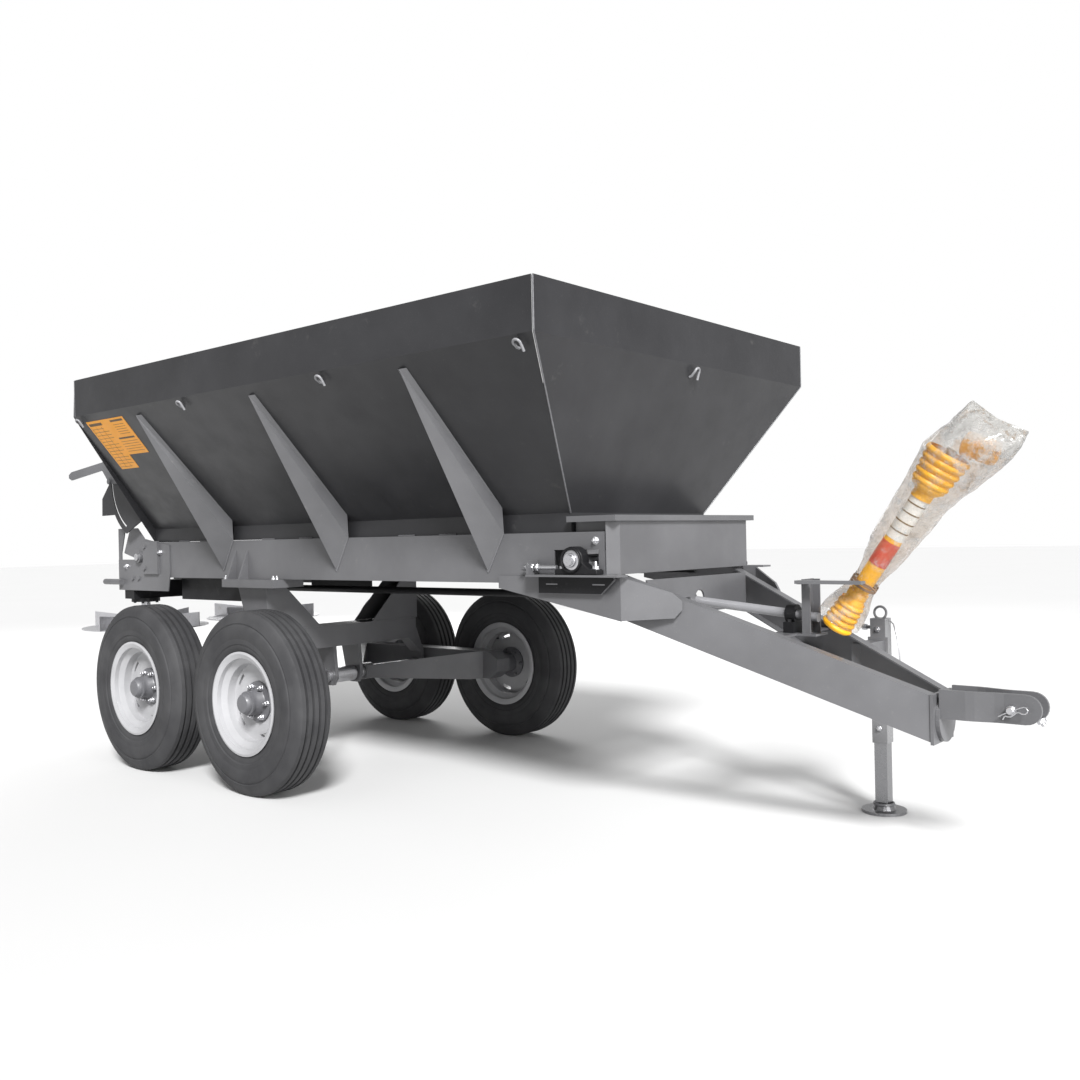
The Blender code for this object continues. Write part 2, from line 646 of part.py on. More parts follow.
def hitch_clevis():
    body = rod("hitch_clevis", (0.9624, 0, HITCH_Z), (0.9760, 0, HITCH_Z), 0.080, FRAME_PAINT,
               segments=28)
    join(body, rod("swivel_shaft", (0.840, 0, HITCH_Z), (0.970, 0, HITCH_Z), 0.020, segments=20))
    join(body, rod("swivel_nut", (0.836, 0, HITCH_Z), (0.857, 0, HITCH_Z), 0.032, segments=6))
    join(body, box("clevis_root", (0.970, -0.062, 0.481), (1.000, 0.062, 0.540)))
    for label, side in SIDES:
        top = 0.568
        low = 0.472
        stations = [(0.9720, 0.070), (1.057, 0.070), (1.085, 0.066), (1.143, 0.052), (1.171, 0.048),
                    (1.236, 0.048)]
        sections = [[(x, side * y, low), (x, side * y, top), (x, side * (y - 0.014), top),
                     (x, side * (y - 0.014), low)] for x, y in stations]
        cheek = loft("cheek_" + label, sections)
        centre_z = (top + low) / 2
        nose = rod("nose_" + label, (1.2370, side * 0.0345, centre_z), (1.2370, side * 0.0475, centre_z),
                   (top - low) / 2 - 0.0005, segments=24)
        join(body, cheek, nose)
    cut(body, rod("pin_bore", (PIN_X, -0.1, EYE_Z), (PIN_X, 0.1, EYE_Z), PIN_R + GAP, segments=20))


def hitch_pin():
    body = rod("hitch_pin", (PIN_X, -0.078, EYE_Z), (PIN_X, 0.055, EYE_Z), PIN_R, BRIGHT_STEEL)
    join(body, rod("pin_head", (PIN_X, 0.0505, EYE_Z), (PIN_X, 0.064, EYE_Z), 0.024))
    clip_y = -0.064
    join(body, rod("clip_leg", (PIN_X - 0.022, clip_y, EYE_Z + 0.028),
                   (PIN_X + 0.030, clip_y, EYE_Z - 0.038), 0.0025, segments=8))


# -------------------------------------------------------------------------- jack
def jack():
    half = 0.030
    tube = box("jack_tube", (JACK_X - half, JACK_Y - half, 0.271), (JACK_X + half, JACK_Y + half, 0.757),
               FRAME_PAINT)
    cut(tube, box("jack_bore", (JACK_X - 0.0257, JACK_Y - 0.0257, 0.20),
                  (JACK_X + 0.0257, JACK_Y + 0.0257, 0.750)))
    join(tube, box("jack_sleeve", (JACK_X - 0.04, JACK_Y - half - 0.0005, 0.585),
                   (JACK_X + 0.04, JACK_Y - half + 0.003, 0.685)))
    bpy.ops.mesh.primitive_torus_add(
        major_radius=0.024, minor_radius=0.005, major_segments=20, minor_segments=8,
        location=(JACK_X, JACK_Y, 0.778), rotation=(math.radians(90), 0, 0))
    join(tube, place(bpy.context.object, "jack_eye", None))
    join(tube, rod("jack_lock", (JACK_X - 0.062, JACK_Y, 0.720), (JACK_X - 0.027, JACK_Y, 0.720), 0.007,
                   segments=12))
    leg = box("jack_leg", (JACK_X - 0.025, JACK_Y - 0.025, 0.010), (JACK_X + 0.025, JACK_Y + 0.025, 0.500),
              BRIGHT_STEEL)
    join(leg, rod("jack_foot", (JACK_X, JACK_Y, 0.0), (JACK_X, JACK_Y, 0.0115), 0.085, segments=28))
    join(leg, rod("foot_cup", (JACK_X, JACK_Y, 0.011), (JACK_X, JACK_Y, 0.030), 0.046, segments=20,
                  end_radius=0.036))


# ----------------------------------------------------------------- undercarriage
POST_FRONT = -2.140
POST_FOOT = 0.668


def axle_post(label, side):
    """Welded post from the beam down to the cross-beam, with its bolting flange."""
    profile = [(-2.381, 0.886), (POST_FRONT, 0.886), (POST_FRONT, POST_FOOT), (-2.300, POST_FOOT)]
    post = side_plate("axle_post_" + label, profile, 0.494, BEAM_Y, side, FRAME_PAINT)
    web = [(side * 0.4945, POST_FOOT), (side * 0.172, POST_FOOT), (side * 0.391, 0.886),
           (side * 0.4945, 0.886)]
    for name, x in (("front", POST_FRONT - 0.006), ("rear", -2.290)):
        join(post, plate("post_web_" + name, web, "x", x, x + 0.006))
    join(post, side_box("post_flange", (-2.432, 0.38, 0.884), (-2.005, 0.560, 0.9238), side))
    gusset = [(side * (BEAM_Y + GAP), 0.9230), (side * 0.556, 0.9230), (side * (BEAM_Y + GAP), 1.070)]
    for x in (-2.400, -2.300):
        join(post, plate("beam_gusset", gusset, "x", x, x + 0.012))
    return post


def axle_crossbeam():
    beam = box("axle_crossbeam", (-2.290, -0.49, 0.555), (POST_FRONT, 0.49, 0.6672), FRAME_PAINT)
    px, pz = PIVOT
    hanger = [(px - 0.10, 0.56), (px + 0.04, 0.56), (px + 0.055, 0.40), (px + 0.03, 0.352),
              (px - 0.03, 0.352), (px - 0.06, 0.40)]
    for y in (-0.085, 0.080):
        join(beam, plate("hanger", hanger, "y", y - 0.010, y + 0.010))
    for label, side in SIDES:
        arm = [(side * 0.44, 0.556), (side * 0.4895, 0.62), (side * 0.548, 0.48), (side * 0.548, 0.352),
               (side * 0.524, 0.352), (side * 0.524, 0.47)]
        join(beam, plate("outer_arm_" + label, arm, "x", px - 0.045, px + 0.0395))
    return cut(beam, rod("pivot_bore", (px, -0.6, pz), (px, 0.6, pz), PIVOT_R + GAP, segments=24))


def pivot_shaft():
    px, pz = PIVOT
    shaft = rod("pivot_shaft", (px, -0.690, pz), (px, 0.690, pz), PIVOT_R, BRIGHT_STEEL, segments=24)
    return join(shaft, rod("pivot_sleeve", (px, -0.062, pz), (px, 0.062, pz), 0.040, segments=24))


def rocker(label, side):
    px, pz = PIVOT
    outline = [(-1.66, 0.345), (-1.60, 0.385), (-1.60, 0.45), (-1.66, 0.49),
               (-2.703, 0.49), (-2.763, 0.45), (-2.763, 0.385), (-2.703, 0.345)]
    beam = side_plate("rocker_" + label, outline, 0.57, 0.67, side, FRAME_PAINT)
    join(beam, rod("rocker_boss", (px, side * 0.125, pz), (px, side * 0.185, pz), 0.044, segments=20))
    for x in AXLE_X:
        toward = math.copysign(1.0, x - px)
        sections = []
        for station, y0, y1, z0, z1 in ((px + toward * 0.030, 0.128, 0.180, 0.367, 0.433),
                                        (x, 0.495, 0.573, 0.345, 0.490)):
            sections.append([(station, side * y0, z0), (station, side * y0, z1),
                             (station + toward * 0.025, side * y1, z1),
                             (station + toward * 0.025, side * y1, z0)])
        join(beam, loft("rocker_arm", sections))
        join(beam, rod("stub_axle", (x, side * 0.665, TYRE_R), (x, side * 0.877, TYRE_R), 0.025,
                       segments=20))
        join(beam, rod("stub_collar", (x, side * 0.668, TYRE_R), (x, side * 0.700, TYRE_R), 0.034,
                       segments=20))
    return cut(beam, rod("rocker_bore", (px, side * 0.1, pz), (px, side * 0.8, pz), PIVOT_R + GAP,
                         segments=24))


TYRE_PROFILE = (
    (0.398, 0.074), (TYRE_R, 0.055), (TYRE_R, -0.055), (0.398, -0.074), (0.310, -0.1025),
    (0.250, -0.097), (0.232, -0.084), (0.2055, -0.082), (0.2055, -0.068), (0.300, -0.088),
    (0.380, -0.064), (0.380, 0.064), (0.300, 0.088), (0.2055, 0.068), (0.2055, 0.082),
    (0.232, 0.084), (0.250, 0.097), (0.310, 0.1025))

WHEEL_PROFILE = (
    (0.2275, 0.092), (0.2275, 0.086), (0.2045, 0.083), (0.178, 0.045), (0.178, -0.045),
    (0.2045, -0.083), (0.2275, -0.086), (0.2275, -0.092), (0.196, -0.088), (0.170, -0.050),
    (0.170, -0.028), (0.062, -0.038), (0.050, -0.105), (0.0255, -0.105), (0.0255, 0.040),
    (0.043, 0.040), (0.050, -0.026), (0.168, -0.018), (0.170, 0.048), (0.198, 0.086))
WHEEL_STEPS = 20


def wheel_pair(label, side):
    for place_name, x in zip(("front", "rear"), AXLE_X):
        centre = (x, side * TRACK_Y, TYRE_R)
        suffix = "_%s_%s" % (place_name, label)
        turned("tyre" + suffix, TYRE_PROFILE, centre, (0, side, 0), TYRE_RUBBER, WHEEL_STEPS)
        wheel = turned("wheel" + suffix, WHEEL_PROFILE, centre, (0, side, 0), RIM_PAINT, WHEEL_STEPS)
        cap_start = (x, side * (TRACK_Y + 0.0385), TYRE_R)
        cap_end = (x, side * (TRACK_Y + 0.060), TYRE_R)
        join(wheel, rod("hub_cap", cap_start, cap_end, 0.0415, segments=16, end_radius=0.034))


# ---------------------------------------------------------------- rear and discs
def rear_plate(label, side):
    """Side plate behind the beam, with the roller bearing and the upper guards."""
    inner = BEAM_Y + GAP
    outer = inner + 0.006
    main = [(-3.554, 0.850), (-3.030, 0.850), (-3.010, 0.940), (-3.010, 1.100), (-3.265, 1.139),
            (-3.341, 1.201), (-3.419, 1.201), (-3.490, 1.061), (-3.360, 1.030), (-3.335, 1.024),
            (-3.554, 1.024)]
    body = side_plate("rear_plate_" + label, main, inner, outer, side, FRAME_PAINT)
    rear_guard = [(-3.551, 1.020), (-3.520, 1.020), (-3.520, 1.061), (-3.474, 1.201), (-3.551, 1.201)]
    join(body, side_plate("rear_guard", rear_guard, inner, outer, side))
    join(body, side_box("bolted_cover", (-3.262, outer - 0.001, 0.944), (-3.112, outer + 0.014, 1.125),
                        side))
    x, z = REAR_ROLLER
    join(body, rod("roller_boss", (x, side * (outer - 0.003), z), (x, side * (outer + 0.020), z), 0.032,
                   segments=20))
    cut(body, rod("roller_bore", (x, side * 0.45, z), (x, side * 0.60, z), SHAFT_R + GAP, segments=16))
    join(body, rod("side_handle", (-3.684, side * 0.520, 0.897), (-3.500, side * 0.520, 0.897), 0.0165,
                   segments=16))
    join(body, side_box("handle_foot", (-3.530, inner, 0.884), (-3.500, 0.512, 0.910), side))
    for bolt_x in (-3.393, -3.330):
        join(body, rod("plate_bolt", (bolt_x, side * (outer - 0.001), 0.918),
                       (bolt_x, side * (outer + 0.009), 0.918), 0.011, segments=6))
    for bolt_x, bolt_z in ((-3.240, 0.975), (-3.240, 1.095)):
        join(body, rod("cover_bolt", (bolt_x, side * (outer + 0.013), bolt_z),
                       (bolt_x, side * (outer + 0.023), bolt_z), 0.011, segments=6))
    return body


def spinner_gearbox():
    low, high = GEARBOX_Z
    half = BEAM_Y - GAP
    body = box("spinner_gearbox", (-3.503, -half, low), (-3.403, half, high), DARK_STEEL)
    join(body, rod("gearbox_snout", (-3.410, 0, DRIVE_Z), (-3.320, 0, DRIVE_Z), 0.045, segments=20))
    for label, side in SIDES:
        join(body, rod("gearbox_flange_" + label, (DISC_X, side * DISC_Y, low - 0.020),
                       (DISC_X, side * DISC_Y, low + 0.001), 0.078, segments=24))
        cut(body, rod("gearbox_bore_" + label, (DISC_X, side * DISC_Y, 0.70),
                      (DISC_X, side * DISC_Y, 0.835), 0.0255, segments=20))
        for angle in range(45, 405, 90):
            x = DISC_X + 0.062 * math.cos(math.radians(angle))
            y = side * DISC_Y + 0.062 * math.sin(math.radians(angle))
            join(body, rod("flange_bolt", (x, y, low - 0.028), (x, y, low - 0.019), 0.009, segments=6))
    return cut(body, rod("drive_bore", (-3.47, 0, DRIVE_Z), (-3.30, 0, DRIVE_Z), DRIVE_R + GAP,
                         segments=20))


def disc(label, side):
    y = side * DISC_Y
    body = rod("disc_" + label, (DISC_X, y, DISC_TOP - 0.006), (DISC_X, y, DISC_TOP), DISC_R,
               BRIGHT_STEEL, segments=36)
    join(body, rod("disc_shaft", (DISC_X, y, DISC_TOP - 0.03), (DISC_X, y, 0.825), 0.025, segments=20))
    join(body, rod("disc_hub", (DISC_X, y, DISC_TOP - 0.001), (DISC_X, y, DISC_TOP + 0.020), 0.075,
                   segments=24, end_radius=0.055))
    for quarter in range(4):
        angle = math.radians(20 + 90 * quarter)
        along = Vector((math.cos(angle), math.sin(angle), 0.0))
        across = Vector((-along.y, along.x, 0.0)) * 0.003
        centre = Vector((DISC_X, y, 0.0))
        sections = []
        for reach, top in ((0.085, DISC_TOP + 0.055), (VANE_R, DISC_TOP + 0.080)):
            foot = centre + along * reach
            sections.append([(foot - across) + Vector((0, 0, DISC_TOP - 0.001)),
                             (foot + across) + Vector((0, 0, DISC_TOP - 0.001)),
                             (foot + across) + Vector((0, 0, top)),
                             (foot - across) + Vector((0, 0, top))])
        join(body, loft("vane", sections))
    return body


def belly_tray():
    body = box("belly_tray", (-3.000, -0.490, 0.9180), (-2.445, 0.490, 0.9240), DARK_STEEL)
    for label, side in SIDES:
        join(body, side_box("tray_side_" + label, (-3.000, 0.434, 0.805), (-2.445, 0.440, 0.919), side))
    return body


# -------------------------------------------------------------------- driveline
def shaft_z(x):
    """Height of the front drive shaft, which drops towards the hitch."""
    return 0.798 - 0.097 * (x - 0.415)


def drive_line():
    front = rod("drive_shaft", (-0.020, 0, shaft_z(-0.020)), (0.520, 0, shaft_z(0.520)), DRIVE_R,
                BRIGHT_STEEL)
    join(front, rod("front_yoke", (-0.040, 0, shaft_z(-0.040)), (-0.012, 0, shaft_z(-0.012)), 0.030))
    rear = rod("drive_line", (-3.440, 0, DRIVE_Z), (-0.080, 0, DRIVE_Z), DRIVE_R, DARK_STEEL)
    join(rear, rod("rear_yoke", (-0.090, 0, DRIVE_Z), (-0.050, 0, DRIVE_Z), 0.030))


def carrier():
    outline = [(0.360, -0.290), (0.455, -0.2567), (0.455, -0.050), (0.530, -0.050), (0.530, 0.050),
               (0.455, 0.050), (0.455, 0.2567), (0.360, 0.290)]
    body = plate("pto_holder", outline, "z", 0.722, 0.730, FRAME_PAINT)
    add_holder(body)
    block = box("carrier_bearing", (0.398, -0.042, 0.7305), (0.438, 0.042, 0.770), DARK_STEEL)
    middle = 0.418
    z = shaft_z(middle)
    join(block, rod("carrier_boss", (0.400, 0, z), (0.436, 0, z), 0.036))
    cut(block, rod("carrier_bore", (0.30, 0, shaft_z(0.30)), (0.50, 0, shaft_z(0.50)), DRIVE_R + GAP))
    for y in (-0.033, 0.033):
        join(block, rod("carrier_bolt", (middle, y, 0.768), (middle, y, 0.780), 0.009, segments=6))


def add_holder(body):
    """Upright and arm, welded on the carrier plate, that hold the parked PTO shaft up."""
    join(body, box("holder_upright", (0.475, -0.045, 0.726), (0.481, 0.045, 0.928)))
    for label, side in SIDES:
        join(body, side_box("holder_flange_" + label, (0.478, 0.038, 0.727), (0.507, 0.044, 0.927), side))
    join(body, box("holder_neck", (0.479, -0.090, 0.912), (0.505, -0.040, 0.924)))
    join(body, box("holder_arm", (0.476, -0.102, 0.914), (0.725, -0.064, 0.926)))
    cut(body, rod("holder_hole", (0.40, 0, shaft_z(0.478)), (0.55, 0, shaft_z(0.478)), 0.027))


PTO_RUN = (Vector(PTO_END) - Vector(PTO_START)).normalized()
PTO_SIDE = Vector((PTO_RUN.z, 0.0, -PTO_RUN.x))

GUARD_PROFILE = (
    (0.083, 0.700), (0.083, 0.685), (0.070, 0.676), (0.050, 0.600), (0.033, 0.585),
    (0.033, 0.105), (0.045, 0.088), (0.058, -0.030), (0.052, -0.030), (0.039, 0.085),
    (0.027, 0.100), (0.027, 0.590), (0.044, 0.604), (0.064, 0.680), (0.076, 0.700))


def pto():
    start = Vector(PTO_START)
    turned("pto_guard", GUARD_PROFILE, start, PTO_RUN, GUARD_PLASTIC, segments=18)
    rod("pto_shaft", start + PTO_RUN * -0.010, start + PTO_RUN * 0.715, 0.020, BRIGHT_STEEL)
    yoke_in = Vector((1.050, 0.0, 1.381))
    yoke_out = Vector((1.150, 0.0, 1.340))
    yoke = rod("pto_yoke", yoke_in, yoke_out, 0.045, YOKE_PAINT, segments=24, end_radius=0.040)
    run = (yoke_out - yoke_in).normalized()
    cut(yoke, rod("spline_bore", yoke_out - run * 0.050, yoke_out + run * 0.02, 0.018))


# (distance along the shaft, sideways shift, half depth, half width)
BAG_SECTIONS = (
    (0.000, -0.008, 0.083, 0.078), (0.080, -0.004, 0.073, 0.068), (0.165, 0.000, 0.044, 0.044),
    (0.250, 0.000, 0.058, 0.056), (0.330, 0.000, 0.074, 0.068), (0.550, 0.012, 0.094, 0.085),
    (0.690, 0.028, 0.124, 0.106), (0.790, 0.062, 0.120, 0.092), (0.850, 0.070, 0.112, 0.055),
    (0.872, 0.071, 0.108, 0.022))
BAG_FILM = 0.0015


def bag_ring(section, inset):
    along, shift, depth, width = section
    centre = Vector(PTO_START) + PTO_RUN * along + PTO_SIDE * shift
    ring = []
    for i in range(18):
        angle = 2 * math.pi * i / 18
        ring.append(centre + PTO_SIDE * (depth - inset) * math.cos(angle)
                    + Vector((0, 1, 0)) * (width - inset) * math.sin(angle))
    return ring


def pto_bag():
    """Clear film bag over the parked shaft, open at its lower end."""
    inside = [bag_ring(section, BAG_FILM) for section in BAG_SECTIONS[:-1]]
    outside = [bag_ring(section, 0.0) for section in BAG_SECTIONS]
    loft("pto_bag", list(reversed(inside)) + outside, FILM, smooth=60)


# ------------------------------------------------------------------------- build
def build():
    hopper_end("hopper_front_wall", 2, 1)
    hopper_rear()
    gate()
    gate_lever()
    front_box()
    front_lid()
    conveyor()
    drawbar_panel()
    drawbar_head()
    hitch_clevis()
    hitch_pin()
    jack()
    axle_crossbeam()
    pivot_shaft()
    spinner_gearbox()
    belly_tray()
    drive_line()
    carrier()
    pto()
    pto_bag()
    for label, side in SIDES:
        hopper_side(label, side)
        for number, tip_x, top_x in RIBS:
            rib(number, tip_x, top_x, side, label)
        chassis_beam(label, side)
        front_bearing(label, side)
        front_bracket(label, side)
        drawbar(label, side)
        axle_post(label, side)
        rocker(label, side)
        wheel_pair(label, side)
        rear_plate(label, side)
        disc(label, side)


build()
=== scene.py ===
"""Looks of the towed spreader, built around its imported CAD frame."""
import json
import math

import bmesh
import bpy
from mathutils import Matrix, Vector, noise


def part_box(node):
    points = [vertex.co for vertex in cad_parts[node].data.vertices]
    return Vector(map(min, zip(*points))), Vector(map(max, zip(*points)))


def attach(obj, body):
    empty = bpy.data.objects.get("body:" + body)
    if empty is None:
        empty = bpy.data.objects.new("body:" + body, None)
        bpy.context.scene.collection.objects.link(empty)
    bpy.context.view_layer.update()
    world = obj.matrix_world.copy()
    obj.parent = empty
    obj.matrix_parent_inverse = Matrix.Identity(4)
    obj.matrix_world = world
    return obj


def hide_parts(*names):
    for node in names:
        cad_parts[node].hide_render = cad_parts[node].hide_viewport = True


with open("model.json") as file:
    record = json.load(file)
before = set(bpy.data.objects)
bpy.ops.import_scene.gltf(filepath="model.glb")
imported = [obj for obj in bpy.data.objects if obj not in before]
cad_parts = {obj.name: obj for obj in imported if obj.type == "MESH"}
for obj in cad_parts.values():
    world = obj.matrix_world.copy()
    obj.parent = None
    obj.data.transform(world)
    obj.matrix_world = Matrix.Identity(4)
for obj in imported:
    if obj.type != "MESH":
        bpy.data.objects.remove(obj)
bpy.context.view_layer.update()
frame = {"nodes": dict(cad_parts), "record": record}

SIDES = (("right", -1.0), ("left", 1.0))
ENDS = ("front", "rear")
SIDEWAYS = Vector((0.0, 1.0, 0.0))


# ---------------------------------------------------------- places on the machine
def corners(node):
    """Low and high corner of a CAD node's box."""
    low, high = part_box(node)
    return Vector(low), Vector(high)


def middle(node):
    low, high = corners(node)
    return (low + high) / 2


FRONT_X = corners("hopper_front_wall")[1].x     # the hopper's front top edge
RIM_Z = corners("hopper_front_wall")[1].z
FOLD_Z = RIM_Z - 0.1875         # lower edge of the upright band
FOOT_Z = RIM_Z - 0.7715         # where the sloping walls end
FOOT_BACK = 0.244               # how far the front wall's foot stands behind its top
TOP_HALF = corners("hopper_side_left")[1].y
SKIRT_HALF = 0.4755
SKIRT_FOOT = 1.1205
HOPPER_END = -3.119             # rear top edge, from the front one


def spot(x, y, z):
    """A point given from the hopper's front edge, the middle and the ground."""
    return Vector((FRONT_X + x, y, z))


PTO_START = spot(0.60, 0.0, 0.777)              # foot of the parked shaft
PTO_RUN = Vector((0.394, 0.0, 0.567)).normalized()
PTO_ACROSS = Vector((PTO_RUN.z, 0.0, -PTO_RUN.x))


def axis_frame(centre, direction):
    """Matrix whose local Z runs along a direction from a centre."""
    turn = Vector(direction).to_track_quat("Z", "Y").to_matrix().to_4x4()
    return Matrix.Translation(centre) @ turn


def side_wall(side):
    """Matrix on a side wall: X forward, Y up the slope, Z out of the sheet, from the fold."""
    fold = spot(0.0, side * TOP_HALF, FOLD_Z)
    foot = spot(0.0, side * SKIRT_HALF, FOOT_Z)
    up = (fold - foot).normalized()
    forward = Vector((1.0, 0.0, 0.0))
    out = forward.cross(up)
    if out.y * side < 0:
        out = -out
    turn = Matrix((forward, up, out)).transposed().to_4x4()
    return Matrix.Translation(fold) @ turn


def front_wall():
    """Matrix on the front wall: X across, Y up the slope, Z out of the sheet."""
    fold = spot(0.0, 0.0, FOLD_Z)
    foot = spot(-FOOT_BACK, 0.0, FOOT_Z)
    up = (fold - foot).normalized()
    turn = Matrix((SIDEWAYS, up, SIDEWAYS.cross(up))).transposed().to_4x4()
    return Matrix.Translation(fold) @ turn


# ---------------------------------------------------------------------- materials
class Nodes:
    """Small helper around one material's node tree."""

    def __init__(self, name):
        self.material = bpy.data.materials.new(name)
        self.material.use_nodes = True
        self.tree = self.material.node_tree
        self.shader = self.tree.nodes["Principled BSDF"]
        self.place = self.tree.nodes.new("ShaderNodeTexCoord").outputs["Object"]

    def put(self, socket, value):
        """Link an output to a socket, or set the socket's own value."""
        if hasattr(value, "is_output"):
            self.tree.links.new(value, socket)
        else:
            socket.default_value = value

    def add(self, kind, **inputs):
        node = self.tree.nodes.new(kind)
        for key, value in inputs.items():
            self.put(node.inputs[key.replace("_", " ")], value)
        return node

    def noise(self, scale, detail=3.0, rough=0.5, vector=None):
        node = self.add("ShaderNodeTexNoise", Scale=scale, Detail=detail, Roughness=rough)
        self.put(node.inputs["Vector"], vector or self.place)
        return node.outputs["Fac"]

    def ramp(self, factor, stops):
        """Colour ramp; a stop is a position with one grey level or a colour."""
        node = self.tree.nodes.new("ShaderNodeValToRGB")
        while len(node.color_ramp.elements) < len(stops):
            node.color_ramp.elements.new(0.5)
        for element, (position, colour) in zip(node.color_ramp.elements, stops):
            element.position = position
            element.color = (*(colour if len(colour) == 3 else colour * 3), 1.0)
        self.put(node.inputs["Fac"], factor)
        return node.outputs["Color"]

    def mix(self, factor, first, second):
        node = self.tree.nodes.new("ShaderNodeMix")
        node.data_type = "RGBA"
        self.put(node.inputs["Factor"], factor)
        self.put(node.inputs["A"], (*first, 1.0) if isinstance(first, tuple) else first)
        self.put(node.inputs["B"], (*second, 1.0) if isinstance(second, tuple) else second)
        return node.outputs["Result"]

    def bump(self, height, strength, distance):
        node = self.add("ShaderNodeBump", Strength=strength, Distance=distance, Height=height)
        self.put(self.shader.inputs["Normal"], node.outputs["Normal"])

    def surface(self, **inputs):
        """Set shader inputs by name, with _ for a space."""
        for key, value in inputs.items():
            self.put(self.shader.inputs[key.replace("_", " ")], value)

    def finish(self, colour, roughness, metallic=0.0):
        self.surface(Base_Color=colour, Roughness=roughness, Metallic=metallic)
        return self.material


def scaled(base, factor, lift=0.0):
    """A colour made darker or lighter."""
    return tuple(min(1.0, c * factor + lift) for c in base)


SPECK = (0.42, 0.40, 0.37)
SCUFF = (0.36, 0.35, 0.33)
OIL_STAIN = (0.22, 0.17, 0.12)


def painted(name, base, rough=0.42, dust=0.10, coat=0.25, gloss=0.5):
    """Sprayed enamel: orange peel, faint cloudy tone, dust specks and scuffs."""
    n = Nodes(name)
    clouds = n.ramp(n.noise(scale=2.2, detail=4.0, rough=0.6), [(0.35, (0,)), (0.68, (1,))])
    tone = n.mix(clouds, scaled(base, 0.86), scaled(base, 1.12, 0.004))
    specks = n.ramp(n.noise(scale=160.0, detail=2.0, rough=0.7), [(0.66, (0,)), (0.76, (dust,))])
    scuffs = n.ramp(n.noise(scale=11.0, detail=7.0, rough=0.72), [(0.63, (0,)), (0.74, (dust * 1.3,))])
    colour = n.mix(scuffs, n.mix(specks, tone, SPECK), SCUFF)
    roughness = n.ramp(n.noise(scale=7.0, detail=5.0, rough=0.6),
                       [(0.3, (rough - 0.07,)), (0.7, (rough + 0.10,))])
    n.bump(n.noise(scale=240.0, detail=2.0), strength=0.10, distance=0.0006)
    n.surface(Specular_IOR_Level=gloss, Coat_Weight=coat, Coat_Roughness=0.22)
    return n.finish(colour, roughness)


def plated(name, base, rough=0.30):
    """Zinc or worn bright steel with brushed grain and a few stains."""
    n = Nodes(name)
    stretch = n.add("ShaderNodeMapping", Vector=n.place, Scale=(8.0, 90.0, 8.0))
    grain = n.noise(scale=14.0, rough=0.6, vector=stretch.outputs["Vector"])
    tone = n.mix(grain, scaled(base, 0.78), base)
    stains = n.ramp(n.noise(scale=18.0, detail=6.0, rough=0.7), [(0.60, (0,)), (0.72, (0.35,))])
    roughness = n.ramp(grain, [(0.2, (rough - 0.08,)), (0.8, (rough + 0.14,))])
    n.bump(grain, strength=0.08, distance=0.0005)
    return n.finish(n.mix(stains, tone, OIL_STAIN), roughness, metallic=0.9)


def rubber(name, base, fleck=0.06):
    """Dull rubber with patches of pale road dust."""
    n = Nodes(name)
    dusted = n.ramp(n.noise(scale=5.0, detail=6.0, rough=0.65), [(0.40, (0,)), (0.75, (0.40,))])
    colour = n.mix(dusted, base, scaled(base, 1.0, fleck))
    n.bump(n.noise(scale=420.0, detail=2.0), strength=0.18, distance=0.0006)
    n.surface(Specular_IOR_Level=0.35)
    return n.finish(colour, n.ramp(n.noise(scale=40.0), [(0.3, (0.62,)), (0.7, (0.80,))]))


def plastic(name, base, rough=0.38):
    """Moulded plastic or printed vinyl with a slightly uneven tone."""
    n = Nodes(name)
    tone = n.mix(n.noise(scale=9.0, detail=4.0, rough=0.6), scaled(base, 0.85), base)
    n.bump(n.noise(scale=300.0, detail=2.0), strength=0.06, distance=0.0004)
    n.surface(Subsurface_Weight=0.05)
    roughness = n.ramp(n.noise(scale=25.0), [(0.3, (rough - 0.06,)), (0.7, (rough + 0.08,))])
    return n.finish(tone, roughness)


FILM_TANS = ((0.23, 0.165, 0.09), (0.30, 0.18, 0.07))
FILM_PAINTED_SHEEN = (0.34, 0.335, 0.32)
FILM_PAINTED_SHADE = (0.045, 0.042, 0.038)
FILM_CLEAR = 2.36               # reach along the shaft where the film starts to turn milky and to take more painted sheen
FILM_MILKY_AND_SHEEN = 2.52               # reach where it is milky all over and carries the most painted sheen


